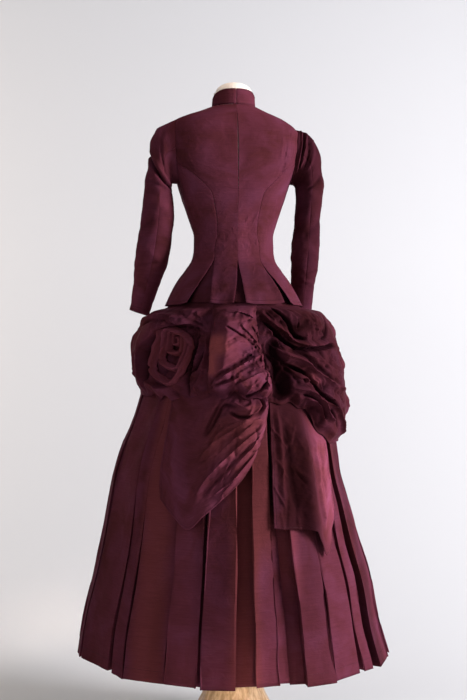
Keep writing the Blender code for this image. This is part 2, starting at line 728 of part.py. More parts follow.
def pleat_depth(height):
    return min(PLEAT_DEPTH, 0.2 + (WAIST - height) * PLEAT_DEEPENS)


def level_way(turn, height):
    # the level direction in which the skirt's face looks
    way = outward(skirt_face, turn, height)
    return Vector((way.x, way.y, 0)).normalized()


def skirt_corner(turn, sunk, tuck, height):
    # a point of a pleat, sunk below the skirt's face and tucked round by a length of arc
    level = level_way(turn, height)
    along = Vector((-level.y, level.x, 0))
    return skirt_face(turn, height) - level * sunk + along * tuck


def breadth_line(pleats, before, after, height):
    # the outline of one breadth of the skirt at a height, from mid-recess to mid-recess
    depth = pleat_depth(height)
    tuck = max(0.0, depth - UNDERCUT_FROM) * UNDERCUT_SHARE
    settle = smooth_step((WAIST - height) / (WAIST - SUNK_FULLY_BELOW))

    def recess(end, start):
        a = skirt_corner(end.end, depth + end.sunk_end * settle, -tuck, height)
        b = skirt_corner(start.start, depth + start.sunk_start * settle, tuck, height)
        return a, b

    points = []
    a, b = recess(before, pleats[0])
    points += [(a + b) / 2 + (b - a).normalized() * (SEAM / 2), b]
    for k, pleat in enumerate(pleats):
        points.append(skirt_corner(pleat.start, pleat.sunk_start * settle, 0, height))
        points.append(skirt_corner(pleat.end, pleat.sunk_end * settle, 0, height))
        a, b = recess(pleat, pleats[k + 1] if k + 1 < len(pleats) else after)
        points.append(a)
        if k + 1 < len(pleats):
            points.append(b)
    points.append((a + b) / 2 - (b - a).normalized() * (SEAM / 2))
    return points


def inner_line(points):
    # the same outline a wall's thickness further in, with its corners mitred
    made = []
    for k, point in enumerate(points):
        before = (point - points[k - 1]).normalized() if k else None
        after = (points[k + 1] - point).normalized() if k + 1 < len(points) else None
        first = before or after
        last = after or before
        normals = [Vector((run.y, -run.x, 0)) for run in (first, last)]
        bisector = (normals[0] + normals[1]).normalized()
        made.append(point - bisector * (WALL / max(bisector.dot(normals[0]), 0.35)))
    return made


def make_skirt():
    pleats = all_pleats()
    turned = [pleat._replace(start=pleat.start + 360, end=pleat.end + 360) for pleat in pleats]
    ring = [pleats[-1]._replace(start=pleats[-1].start - 360, end=pleats[-1].end - 360)]
    ring += pleats + turned[:1]
    heights = SKIRT_LEVELS[:-1] + [WAIST - SEAM]
    for b in range(PLEATS // PLEATS_A_BREADTH):
        first = 1 + b * PLEATS_A_BREADTH
        mine = ring[first:first + PLEATS_A_BREADTH]
        lines = [breadth_line(mine, ring[first - 1], ring[first + PLEATS_A_BREADTH], z)
                 for z in heights]
        wall_of_cloth("skirt_breadth_%d" % (b + 1), lines, [inner_line(line) for line in lines],
                      SILK)


def make_waistbands():
    # the bands of the skirt and the overskirt, one round the other, just above their tops
    turns = [360 * k / ROUND_TURNS for k in range(ROUND_TURNS)]
    for name, out in (("skirt_waistband", 0.0), ("overskirt_waistband", WALL + 0.6)):

        def place(turn, height):
            level = skirt_face(turn, WAIST)
            return Vector((level.x, level.y, height)) + level_way(turn, WAIST) * out

        cloth(name, place, turns, [WAIST, WAIST + BAND_HEIGHT], steps=(0.5, 1.0), closed=True)


# ---------------------------------------------------------------- overskirt

def stand_off(turn, height, out):
    # a point that stands out level from the skirt's face
    return skirt_face(turn, height) + out * level_way(turn, height)


def fold_rise(folds, turn, height):
    # the ridges, or with a negative rise the valleys, that cross a point
    total = 0.0
    for fold in folds:
        run = Vector(((fold.turn_b - fold.turn_a) * ROUND_DEGREE, fold.height_b - fold.height_a))
        here = Vector(((turn - fold.turn_a) * ROUND_DEGREE, height - fold.height_a))
        share = here.dot(run) / run.length_squared
        aside = (here - run * share).length / fold.width
        taper = smooth_step((share + 0.12) / 0.3) * smooth_step((1.12 - share) / 0.3)
        total += fold.rise * math.exp(-aside * aside) * taper
    return total


def draped_surface(ribs, folds):
    # u runs from the first rib to the last, v from the foot (0) to the peplum's hem (1)
    # and on to the waist (2)
    turn_of = curve_through([(k, rib.turn) for k, rib in enumerate(ribs)])
    foot_of = curve_through([(k, rib.foot) for k, rib in enumerate(ribs)])
    falls = []
    for rib in ribs:
        levels = [z for z in SHELF if z > rib.foot + 12] + [rib.foot]
        outs = list(rib.outs[:len(levels) - 1]) + [rib.outs[-1]]
        falls.append(curve_through(sorted(zip(levels, outs))))

    def point(u, v):
        k = u * (len(ribs) - 1)
        turn = turn_of(k)
        height = blend(foot_of(k), SHELF_TOP, v) if v < 1 else blend(SHELF_TOP, WAIST - SEAM, v - 1)
        out = curve_through([(n, fall(height)) for n, fall in enumerate(falls)])(k)
        below_peplum = smooth_step((PEPLUM_HEM - 6 - height) / 22)
        out += fold_rise(folds, turn, height) * below_peplum
        return stand_off(turn, height, max(out, 3.0))

    return point


def make_draped(name, ribs, columns):
    place = draped_surface(ribs, FOLDS[name])
    hidden = [1 + (z - SHELF_TOP) / (WAIST - SEAM - SHELF_TOP) for z in UNDER_PEPLUM]
    rows = [2.0] + hidden + [1 - share for share in DRAPE_ROWS]
    cloth(name, place, spread(0, 1, columns), rows, steps=(0.004, 0.004))
    return place


def tail_surface(ribs, folds):
    top_turn = curve_through([(k, rib.top_turn) for k, rib in enumerate(ribs)])
    foot_turn = curve_through([(k, rib.foot_turn) for k, rib in enumerate(ribs)])
    top = curve_through([(k, rib.top) for k, rib in enumerate(ribs)])
    foot = curve_through([(k, rib.foot) for k, rib in enumerate(ribs)])
    falls = [curve_through(list(zip(TAIL_LEVELS, rib.outs))) for rib in ribs]

    def point(u, v):
        k = u * (len(ribs) - 1)
        down = 1 - v
        turn = blend(top_turn(k), foot_turn(k), down)
        height = blend(top(k), foot(k), down)
        out = curve_through([(n, fall(down)) for n, fall in enumerate(falls)])(k)
        out += fold_rise(folds, turn, height) * smooth_step(down / 0.25)
        return stand_off(turn, height, max(out, TAIL_SEAT))

    return point


def make_tail(name, ribs, columns):
    rows = [1 - share for share in TAIL_ROWS]
    cloth(name, tail_surface(ribs, TAIL_FOLDS[name]), spread(0, 1, columns), rows,
          steps=(0.004, 0.004))


def make_apron():
    # the front of the overskirt, pulled up at both sides so that it lies in curved swags
    first, last = 112.3, 247.7

    def place(u, v):
        turn = blend(first, last, u)
        middle = 1 - ((turn - 180) / 68) ** 2
        foot = APRON_SIDE_FOOT - APRON_DIP * smooth_step(middle)
        height = blend(foot, WAIST - SEAM, v)
        phase = (height + SWAG_SAG * middle) / SWAG_PITCH
        swag = 0.5 + 0.5 * math.cos(2 * math.pi * phase)
        ease = smooth_step((PEPLUM_HEM - 6 - height) / 40) * smooth_step(6 * middle)
        return stand_off(turn, height, 3 + 3 * smooth_step((WAIST - height) / 60)
                         + SWAG_RISE * swag * ease)

    cloth("apron_front", place, spread(0, 1, APRON_COLUMNS), APRON_ROWS, steps=(0.004, 0.004))


def make_rosette(pannier):
    # rings of cloth wound round a small eye, lying on the left pannier
    rib_at = curve_through([(rib.turn, k) for k, rib in enumerate(PANNIER_LEFT)])
    foot_of = curve_through([(k, rib.foot) for k, rib in enumerate(PANNIER_LEFT)])

    def on_pannier(turn, height):
        k = rib_at(turn)
        foot = foot_of(k)
        return pannier(k / (len(PANNIER_LEFT) - 1), (height - foot) / (SHELF_TOP - foot))

    def place(angle, share):
        radius = blend(ROSETTE_EYE, ROSETTE_RADIUS, share)
        turn = ROSETTE_TURN + radius * math.cos(angle) / ROUND_DEGREE
        height = ROSETTE_HEIGHT + radius * math.sin(angle)
        phase = radius / ROSETTE_PITCH - angle / (2 * math.pi)
        saw = phase - math.floor(phase)
        ridge = ROSETTE_RIDGE * math.sin(math.pi * saw ** 0.6) * smooth_step((1 - share) * 4)
        crown = ROSETTE_CROWN * math.sqrt(max(0.0, 1 - share ** 2.4)) * smooth_step(share * 6 + 0.5)
        return on_pannier(turn, height) + level_way(turn, height) * (ROSETTE_LIFT + crown + ridge)

    angles = [2 * math.pi * k / ROSETTE_COLUMNS for k in range(ROSETTE_COLUMNS)]
    outer = [[place(a, s) for a in angles] for s in spread(0, 1, ROSETTE_ROWS)]
    way = level_way(ROSETTE_TURN, ROSETTE_HEIGHT)
    inner = [[point - way * WALL for point in row] for row in outer]
    wall_of_cloth("rosette_left", outer, inner, SILK, closed=True)


# ---------------------------------------------------------------- dress form and its stand

def make_form():
    turns = [360 * k / ROUND_TURNS for k in range(ROUND_TURNS)]
    within = moved(bodice_face, -(WALL + EASE))
    neck = moved(collar_face, -(COLLAR_WALL + FORM_SEAT))

    def waist_ring(height, slack):
        # inside the skirt's waistband
        made = []
        for turn in turns:
            point = skirt_face(turn, WAIST) - level_way(turn, WAIST) * (WALL + FORM_SEAT + slack)
            made.append(Vector((point.x, point.y, height)))
        return made

    rings = [[hips_face(turn, ring.height) for turn in turns] for ring in HIPS]
    rings += [waist_ring(WAIST - 5, 3.5), waist_ring(WAIST + 0.5 * BAND_HEIGHT, 0),
              waist_ring(WAIST + BAND_HEIGHT, 0)]
    rings += [[within(turn, z) for turn in turns] for z in BODICE_LEVELS if 1230 < z < 1560]
    rings += [[neck(turn, z) for turn in turns] for z in (NECKLINE - 4.5, NECK_TOP)]
    solid_rings("form_torso", rings, JERSEY)


def make_neck_cap():
    bm = bmesh.new()
    bmesh.ops.create_uvsphere(bm, u_segments=ROUND_TURNS, v_segments=12, radius=1.0)
    everything = list(bm.verts) + list(bm.edges) + list(bm.faces)
    cut = bmesh.ops.bisect_plane(bm, geom=everything, dist=1e-6, plane_co=(0, 0, 0),
                                 plane_no=(0, 0, -1), clear_outer=True)
    rim = [item for item in cut["geom_cut"] if isinstance(item, bmesh.types.BMEdge)]
    bmesh.ops.edgeloop_fill(bm, edges=rim)
    bmesh.ops.scale(bm, vec=Vector(CAP_RADIUS) * MM, verts=bm.verts)
    bmesh.ops.translate(bm, vec=Vector((0, -3, NECK_TOP + SEAM)) * MM, verts=bm.verts)
    keep("form_neck_cap", bm, JERSEY)


def make_stand():
    profile = bpy.data.meshes.new("stand_foot")
    points = [(row.radius * MM, 0, row.height * MM) for row in FOOT_PROFILE]
    profile.from_pydata(points, [(k, k + 1) for k in range(len(points) - 1)], [])
    foot = bpy.data.objects.new("stand_foot", profile)
    bpy.data.collections[COLLECTION].objects.link(foot)
    screw = foot.modifiers.new("Screw", "SCREW")
    screw.steps = FOOT_STAVES
    screw.render_steps = FOOT_STAVES
    screw.use_merge_vertices = True
    screw.merge_threshold = 0.0001
    screw.use_smooth_shade = False
    foot.data.materials.append(finish_material(WOOD))

    low = FOOT_PROFILE[0].height + SEAM
    high = FORM_BOTTOM - SEAM
    bm = bmesh.new()
    bmesh.ops.create_cone(bm, cap_ends=True, segments=24, radius1=POLE_RADIUS * MM,
                          radius2=POLE_RADIUS * MM, depth=(high - low) * MM)
    bmesh.ops.translate(bm, vec=(0, 0, (high + low) / 2 * MM), verts=bm.verts)
    keep("stand_pole", bm, STEEL)


COLLECTION = "bustle dress on a dress form"


def main():
    clear_scene()
    collection = bpy.data.collections.get(COLLECTION) or bpy.data.collections.new(COLLECTION)
    if collection.name not in bpy.context.scene.collection.children:
        bpy.context.scene.collection.children.link(collection)
    make_form()
    make_neck_cap()
    make_stand()
    make_bodice()
    make_pleat_underlays()
    make_collar()
    make_buttons()
    make_sleeves()
    make_skirt()
    make_waistbands()
    make_apron()
    pannier = make_draped("pannier_left", PANNIER_LEFT, 17)
    make_draped("centre_drape", CENTRE_DRAPE, 14)
    make_draped("pannier_right", PANNIER_RIGHT, 20)
    make_rosette(pannier)
    make_tail("tail_left", TAIL_LEFT, 12)
    make_tail("tail_right", TAIL_RIGHT, 10)


main()
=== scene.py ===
import math

import bpy
import numpy as np
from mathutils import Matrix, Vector


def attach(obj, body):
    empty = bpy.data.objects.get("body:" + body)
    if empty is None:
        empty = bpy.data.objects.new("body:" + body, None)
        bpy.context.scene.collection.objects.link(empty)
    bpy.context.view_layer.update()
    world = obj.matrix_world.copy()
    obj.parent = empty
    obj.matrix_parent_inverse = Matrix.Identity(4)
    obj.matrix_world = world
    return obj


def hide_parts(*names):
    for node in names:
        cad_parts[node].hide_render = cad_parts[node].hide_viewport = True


# A bustle dress of the 1880s on a limbless dress form with a wooden foot.
# +Z is up and -Y is the back of the dress. Tables are in millimetres and degrees, and a
# "turn" is an angle round the body: 0 at the centre back, 90 at the wearer's right side.

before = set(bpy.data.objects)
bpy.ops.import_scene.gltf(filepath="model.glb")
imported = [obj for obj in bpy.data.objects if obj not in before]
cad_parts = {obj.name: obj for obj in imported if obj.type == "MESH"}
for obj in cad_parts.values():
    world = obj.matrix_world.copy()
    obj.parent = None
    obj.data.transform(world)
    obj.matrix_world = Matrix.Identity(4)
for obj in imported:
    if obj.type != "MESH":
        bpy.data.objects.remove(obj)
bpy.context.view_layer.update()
mm = 0.001
print("frame loaded:", len(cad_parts), "solids")


# curves and grids of points

def smoothStep(x):
    t = np.clip(x, 0, 1)
    return t * t * (3 - 2 * t)


def blend(a, b, share):
    return a + (b - a) * share


def curveSlopes(steps):
    # slopes at the points, from the steps between them: level wherever the steps turn back
    pairs = steps[:-1] * steps[1:]
    total = np.where(pairs > 0, steps[:-1] + steps[1:], 1)
    return np.concatenate([steps[:1], np.where(pairs > 0, 2 * pairs / total, 0), steps[-1:]])


def curveBetween(before, after, slopeBefore, slopeAfter, t, width=1):
    # values at the share t of the way between two points
    rest = 1 - t
    return (before * (1 + 2 * t) * rest * rest + after * t * t * (3 - 2 * t)
            + width * t * rest * (slopeBefore * rest - slopeAfter * t))


def curveThrough(xs, ys):
    # a smooth curve through rising points that never swings past them
    xs, ys = np.array(xs, float), np.array(ys, float)
    slopes = curveSlopes(np.diff(ys) / np.diff(xs))

    def value(x):
        x = np.asarray(x, float)
        k = np.clip(np.searchsorted(xs, x, side="right") - 1, 0, len(xs) - 2)
        width = xs[k + 1] - xs[k]
        inside = curveBetween(ys[k], ys[k + 1], slopes[k], slopes[k + 1], (x - xs[k]) / width, width)
        before = ys[0] + (x - xs[0]) * slopes[0]
        after = ys[-1] + (x - xs[-1]) * slopes[-1]
        return np.where(x < xs[0], before, np.where(x > xs[-1], after, inside))

    return value


def curveAcross(values, k):
    # the same kind of curve through whole grids of values, read at position k between them
    slopes = curveSlopes(np.diff(values, axis=0))
    low = np.clip(np.floor(k).astype(int), 0, len(values) - 2)

    def at(grid, index):
        return np.take_along_axis(grid, np.broadcast_to(index, grid.shape[1:])[None], 0)[0]

    return curveBetween(at(values, low), at(values, low + 1), at(slopes, low), at(slopes, low + 1), k - low)


def ringSurface(rings):
    # rings are rows of height, left, right, back, front, widest, square
    table = np.array(rings, float)
    left, right, back, front, widest, square = [curveThrough(table[:, 0], table[:, k])
                                                for k in range(1, 7)]

    def point(turn, height):
        turn, height = np.broadcast_arrays(np.asarray(turn, float), np.asarray(height, float))
        across, along = np.sin(np.radians(turn)), np.cos(np.radians(turn))
        power = 2 / square(height)
        side = np.where(across > 0, right(height), left(height))
        depth = np.where(along > 0, back(height) + widest(height), front(height) - widest(height))
        x = side * np.sign(across) * np.abs(across) ** power
        y = widest(height) - depth * np.sign(along) * np.abs(along) ** power
        return np.stack([x, y, height], axis=-1)

    return point


def unit(vectors):
    return vectors / np.maximum(np.linalg.norm(vectors, axis=-1, keepdims=True), 1e-9)


def outward(surface, turn, height):
    across = surface(turn + 0.5, height) - surface(turn - 0.5, height)
    up = surface(turn, height + 1.0) - surface(turn, height - 1.0)
    return unit(np.cross(across, up))


def gridNormals(grid):
    # rows run down the cloth and columns run with the turn
    return unit(np.cross(np.gradient(grid, axis=1), -np.gradient(grid, axis=0)))


def noiseLattice(seed):
    # random values on a block of points that repeats, and a random shift into it
    rng = np.random.default_rng(seed)
    return rng.uniform(-1, 1, (32, 32, 32)), rng.uniform(0, 32, 3)


def smoothNoise(points, size, seed):
    # soft lumps about one size apart, from -1 to 1
    lattice, shift = noiseLattice(seed)
    p = points / size + shift
    low = np.floor(p).astype(int)
    t = smoothStep(p - low)
    total = np.zeros(points.shape[:-1])
    for corner in range(8):
        step = np.array([corner & 1, corner >> 1 & 1, corner >> 2])
        share = np.prod(np.where(step == 1, t, 1 - t), axis=-1)
        i, j, k = np.moveaxis((low + step) % 32, -1, 0)
        total += share * lattice[i, j, k]
    return total


# the facets' grid is turned, so that none of their creases run level or upright
tilted = np.array([(0.62, -0.51, 0.60), (0.74, 0.60, -0.26), (-0.23, 0.61, 0.76)])


def facets(points, size, seed):
    # flat little planes that meet in crisp creases, from -1 to 1
    lattice, shift = noiseLattice(seed)
    bend = np.stack([smoothNoise(points, size * 1.6, seed + n) for n in (5, 6, 7)], axis=-1)
    p = points @ tilted.T / size + 0.35 * bend + shift
    low = np.floor(p).astype(int)
    rest = p - low
    order = np.argsort(-rest, axis=-1)
    total = lattice[tuple(np.moveaxis(low % 32, -1, 0))]
    before = total
    for n in range(3):
        axis = order[..., n:n + 1]
        low = low + (np.arange(3) == axis)
        after = lattice[tuple(np.moveaxis(low % 32, -1, 0))]
        total = total + (after - before) * np.take_along_axis(rest, axis, -1)[..., 0]
        before = after
    return total


def crumple(points, size, seed):
    # crisp creases large and small, as stiff silk takes
    return (facets(points, size, seed) + 0.46 * facets(points, size * 0.45, seed + 1)
            + 0.2 * facets(points, size * 0.2, seed + 2))


def foldField(x, y, folds):
    # Folds are rows of rise, left width, right width, lean, roundness and the path they run on.
    # The answer is how far they raise each point, and how far they lean it over, all in mm.
    out, shiftX, shiftY = np.zeros(x.shape), np.zeros(x.shape), np.zeros(x.shape)
    for rise, left, right, lean, round, path in folds:
        marks = np.array(path, float)
        if len(marks) > 2:
            steps = np.arange(len(marks))
            fine = np.linspace(0, len(marks) - 1, 6 * len(marks))
            marks = np.stack([curveThrough(steps, marks[:, n])(fine) for n in (0, 1)], axis=-1)
        marks = marks * (degreeLength, 1)
        runs = np.diff(marks, axis=0)
        lengths = np.linalg.norm(runs, axis=1)
        starts = np.concatenate([[0], np.cumsum(lengths)])
        best = np.full(x.shape, 1e9)
        side, share, wayX, wayY = (np.zeros(x.shape) for _ in range(4))
        for start, run, length, before in zip(marks, runs, lengths, starts):
            fromX, fromY = x - start[0], y - start[1]
            t = np.clip((fromX * run[0] + fromY * run[1]) / length ** 2, 0, 1)
            offX, offY = fromX - t * run[0], fromY - t * run[1]
            away = np.hypot(offX, offY)
            near = away < best
            best = np.where(near, away, best)
            side = np.where(near, run[0] * offY - run[1] * offX, side)
            share = np.where(near, (before + t * length) / starts[-1], share)
            wayX = np.where(near, run[1] / length, wayX)
            wayY = np.where(near, -run[0] / length, wayY)
        s = best / np.where(side > 0, left, right)
        crest = np.clip(1 + round - np.sqrt(s * s + round * round), 0, 1) ** 1.2
        for ends in (share, 1 - share):      # a fold dies away over a fifth of its run
            crest = crest * smoothStep(ends / 0.2 + 0.15)
        out += rise * crest
        shiftX += lean * wayX * crest ** 2
        shiftY += lean * wayY * crest ** 2
    return out, shiftX, shiftY


def scatter(seed, count, turns, heights, way, lengths, rise, width=3.0):
    # fine creases thrown over a patch, most of them along one way, in degrees above level
    rng = np.random.default_rng(seed)
    rows = []
    for _ in range(count):
        turn, height = rng.uniform(*turns), rng.uniform(*heights)
        angle = np.radians(way + rng.normal(0, 24))
        half = rng.uniform(*lengths) / 2
        across, up = half * np.cos(angle) / degreeLength, half * np.sin(angle)
        tall = rise * rng.uniform(0.5, 1.2) * rng.choice([-1, 1])
        wide = width * rng.uniform(0.7, 1.5)
        rows.append((tall, wide, wide * rng.uniform(0.6, 1.6), 0, 0.05,
                     [(turn - across, height - up), (turn + across, height + up)]))
    return rows


# materials

def hexToLinear(code):
    parts = [int(code[k:k + 2], 16) / 255 for k in (1, 3, 5)]
    return [p / 12.92 if p <= 0.04045 else ((p + 0.055) / 1.055) ** 2.4 for p in parts] + [1]


def addNode(tree, kind, settings=None, **links):
    # settings are attributes, or sockets by name or number; links are sockets fed by others
    node = tree.nodes.new(kind)
    for key, value in (settings or {}).items():
        if isinstance(key, str) and hasattr(node, key):
            setattr(node, key, value)
        else:
            node.inputs[key].default_value = value
    for key, source in links.items():
        numbered = key[0] == "n" and key[1:].isdigit()
        tree.links.new(source, node.inputs[int(key[1:]) if numbered else key])
    return node


def newMaterial(name, settings):
    material = bpy.data.materials.new(name)
    material.use_nodes = True
    shader = material.node_tree.nodes["Principled BSDF"]
    for key, value in settings.items():
        shader.inputs[key].default_value = value
    return material, material.node_tree, shader


taffeta = {
    "warp": "#592934",       # burgundy thread
    "shade": "#4e2327",      # where the browner side of the shot silk shows
    "glow": "#602f3f",       # where its violet side shows
    "brown": "#693233",      # where it is seen along the other thread
    "ribPitch": 1.6,         # mm; the real rib is about 0.3 mm, drawn coarser so that it shows
    "slubLength": 60.0,      # mm
    "creaseSize": 34.0,      # mm
    "roughness": 0.4,
}


def silkTaffeta(name, seed):
    # Silk taffeta, tightly woven and crisp: a dry two-toned sheen, a faint cross rib and slubs.
    # Its two threads, the sheen and a painted shade and highlight stored on each point give the light and
    # shade, so the clear gloss is all but off.
    material, tree, shader = newMaterial(name, {
        "Roughness": taffeta["roughness"], "IOR": 1.54, "Specular IOR Level": 0.0006,
        "Specular Tint": hexToLinear("#f2c3d2"), "Sheen Weight": 0.06, "Sheen Roughness": 0.3,
        "Sheen Tint": hexToLinear("#d6708f")})
    place = addNode(tree, "ShaderNodeUVMap", {"uv_map": "grain"}).outputs["UV"]
    moved = addNode(tree, "ShaderNodeMapping", {"Location": (seed * 1.7, seed * 0.9, 0),
                                                "Scale": (1000, 1000, 1000)}, Vector=place)
    millimetres = moved.outputs["Vector"]
    long = addNode(tree, "ShaderNodeMapping", {"Scale": (1 / taffeta["slubLength"], 0.45, 1)},
                   Vector=millimetres)
    slub = addNode(tree, "ShaderNodeTexNoise", {"Scale": 1.0, "Detail": 3.0, "Roughness": 0.6},
                   Vector=long.outputs["Vector"])
    cloud = addNode(tree, "ShaderNodeTexNoise", {"Scale": 0.011, "Detail": 3.0, "Roughness": 0.55,
                                                 "Distortion": 0.6}, Vector=millimetres)
    tone = addNode(tree, "ShaderNodeValToRGB", Fac=cloud.outputs["Fac"])
    stops = tone.color_ramp.elements
    stops[0].position, stops[1].position = 0.32, 0.68
    stops.new(0.5)
    for stop, colour in zip(stops, ("shade", "warp", "glow")):
        stop.color = hexToLinear(taffeta[colour])
    thread = addNode(tree, "ShaderNodeMapRange", {"From Min": 0.3, "From Max": 0.7,
                                                  "To Min": 0.88, "To Max": 1.10},
                     Value=slub.outputs["Fac"])
    brown = addNode(tree, "ShaderNodeAttribute", {"attribute_name": "brown"})
    browned = addNode(tree, "ShaderNodeMix", {"data_type": "RGBA", 7: hexToLinear(taffeta["brown"])},
                      n0=brown.outputs["Fac"], n6=tone.outputs["Color"])
    # painted shade and painted highlight: the value stored on each point darkens the colour above 0 (to 0.12
    # times at 1.6) and lightens it below 0 (to 2.1 times at -2)
    paintedShade = addNode(tree, "ShaderNodeAttribute", {"attribute_name": "paintedShade"})
    paintedShadeScale = addNode(tree, "ShaderNodeMapRange", {"From Min": -2.0, "From Max": 1.6, "To Min": 2.1,
                                                    "To Max": 0.12}, Value=paintedShade.outputs["Fac"])
    strength = addNode(tree, "ShaderNodeMath", {"operation": "MULTIPLY"}, n0=paintedShadeScale.outputs["Result"],
                       n1=thread.outputs["Result"])
    shaded = addNode(tree, "ShaderNodeVectorMath", {"operation": "SCALE"}, Vector=browned.outputs[2],
                     Scale=strength.outputs["Value"])
    tree.links.new(shaded.outputs["Vector"], shader.inputs["Base Color"])
    rib = addNode(tree, "ShaderNodeTexWave", {"bands_direction": "Y", "wave_profile": "SIN",
                                              "Scale": 0.314 / taffeta["ribPitch"], "Distortion": 0.4,
                                              "Detail": 1.0}, Vector=millimetres)
    flat = addNode(tree, "ShaderNodeMapping", {"Scale": (1, 1.5, 1)}, Vector=millimetres)
    crease = addNode(tree, "ShaderNodeTexNoise", {
        "noise_type": "RIDGED_MULTIFRACTAL", "normalize": False, "Scale": 1 / taffeta["creaseSize"],
        "Detail": 3.5, "Roughness": 0.55, "Lacunarity": 2.3, "Offset": 1.0, "Gain": 1.6,
        "Distortion": 0.5}, Vector=flat.outputs["Vector"])
    # three layers of relief, each laid over the last: strength and depth in m
    below = {}
    for height, share, depth in ((crease, 0.35, 0.0011), (slub, 0.3, 0.0004), (rib, 0.10, 0.0003)):
        relief = addNode(tree, "ShaderNodeBump", {"Strength": share, "Distance": depth},
                         Height=height.outputs["Fac"], **below)
        below = {"Normal": relief.outputs["Normal"]}
    tree.links.new(below["Normal"], shader.inputs["Normal"])
    return material


silk = [silkTaffeta("burgundySilkTaffeta%d" % n, n) for n in range(3)]
# Patches of painted shade where the dress lies in shade or shadow, of painted light (below 0) where it
# catches the light, and of browner silk where the shot silk is seen along its other thread: turn, height,
# how far the patch reaches each way, how much painted shade (less than 0 is painted light) and how much
# browner.
paintedShadeAndBrownPatches = {
    "bodiceBackLeft": [(-10, 1300, 16, 300, 0.05, 0)],
    "bodiceBackRight": [(8, 1240, 14, 70, -0.6, 0), (20, 1110, 30, 55, 0.4, 0.1)],
    "pannierRight": [(34, 900, 44, 190, 1.1, 0.15), (34, 1030, 20, 34, 0.5, 0.2),
                     (30, 892, 4, 14, -1.2, 0)],
    "pannierLeft": [(-67, 925, 6, 60, 0.7, 0), (-78, 1000, 14, 45, 0.15, 0.6),
                    (-42, 1044, 14, 20, 0.9, 0), (-31, 935, 4, 80, 0.5, 0)],
    "centreDrape": [(-17, 972, 8, 26, -1.9, 1.0), (-18.5, 925, 5.5, 24, -1.9, 1.0),
                    (8, 1000, 6, 40, 0.5, 0), (0, 930, 7, 26, 0.2, 0)],
    "rosetteLeft": [(-46, 955, 22, 90, -1.6, 0.3)],
    "tailRight": [(18.5, 700, 10.5, 400, 1.35, 0.4), (38.5, 640, 8.5, 150, -1.9, 0)],
    "tailLeft": [(-20, 700, 44, 300, -0.5, 0), (-8, 770, 12, 60, 0.2, 0.5),
                 (-13, 725, 3.5, 36, -0.8, 0)],
    "sleeveUpperRight": [(70, 1300, 60, 400, 0.9, 0)],
    "sleeveUnderRight": [(70, 1300, 60, 400, 0.8, 0)],
    "sleeveUpperLeft": [(-80, 1120, 60, 80, -0.9, 0)],
    "sleeveUnderLeft": [(-80, 1120, 60, 80, -0.9, 0)],
    "bodiceSideBackLeft": [(-60, 1250, 60, 300, -0.5, 0)],
    "peplumPleatLeft": [(-34, 1100, 9, 200, 0.2, 0), (-46, 1100, 6, 200, 1.4, 0)],
    "peplumPleatCentre": [(0, 1100, 60, 200, 1.0, 0), (-4, 1080, 2.4, 16, -1.0, 0)],
    "peplumPleatRight": [(40, 1100, 60, 200, 1.0, 0)],
    "skirtBreadth1": [(-68, 400, 14, 900, -0.2, 0.2), (-74, 330, 14, 230, 0.3, 0),
                      (-36, 300, 3.5, 130, 0.5, 0.2), (-40, 500, 8, 900, -0.45, 0.8)],
    "skirtBreadth2": [(-3, 400, 5, 900, 0.2, 1.0), (-26, 400, 6, 900, -0.5, 0.1),
                      (5, 640, 6, 150, 0.5, 0.9)],
    "skirtBreadth3": [(13, 490, 4.5, 90, -0.9, 0.2), (11, 300, 5, 120, 0.6, 0.2),
                      (23, 350, 6, 400, 0.5, 0.1)],
    "skirtBreadth4": [(50, 400, 5, 900, 0.5, 0.3), (40, 490, 4, 90, 0.6, 0),
                      (62, 400, 6, 900, 0.7, 0)],
}
print("materials made")


# cloth pieces

cloth = {
    "thick": 1.0,            # mm
    "sharp": 55,             # degrees between two faces that meet in a crease
    "paintedShadeHollow": 11.0,      # mm deep: the painted shade is fullest in such a hollow
    "paintedHighlightCrest": 12.0,      # mm high: the painted highlight is fullest on such a fold
    # how strong the painted highlight on a crest is
    "paintedHighlightShare": 0.45,
}


def addObject(name, data):
    thing = bpy.data.objects.new(name, data)
    bpy.context.scene.collection.objects.link(thing)
    return thing


def rideAsSilk(piece):
    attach(piece, "root")


def paintedShadeAndBrownAt(name, turn, height):
    # how much painted shade (below 0, painted light) and brown cast the silk takes, from soft patches
    paintedShade, brown = np.zeros(np.shape(turn)), np.zeros(np.shape(turn))
    for atTurn, atHeight, wide, tall, addPaintedShade, addBrown in paintedShadeAndBrownPatches.get(name, []):
        near = np.exp(-((turn - atTurn) / wide) ** 4 - ((height - atHeight) / tall) ** 4)
        paintedShade, brown = paintedShade + addPaintedShade * near, brown + addBrown * near
    return paintedShade, brown


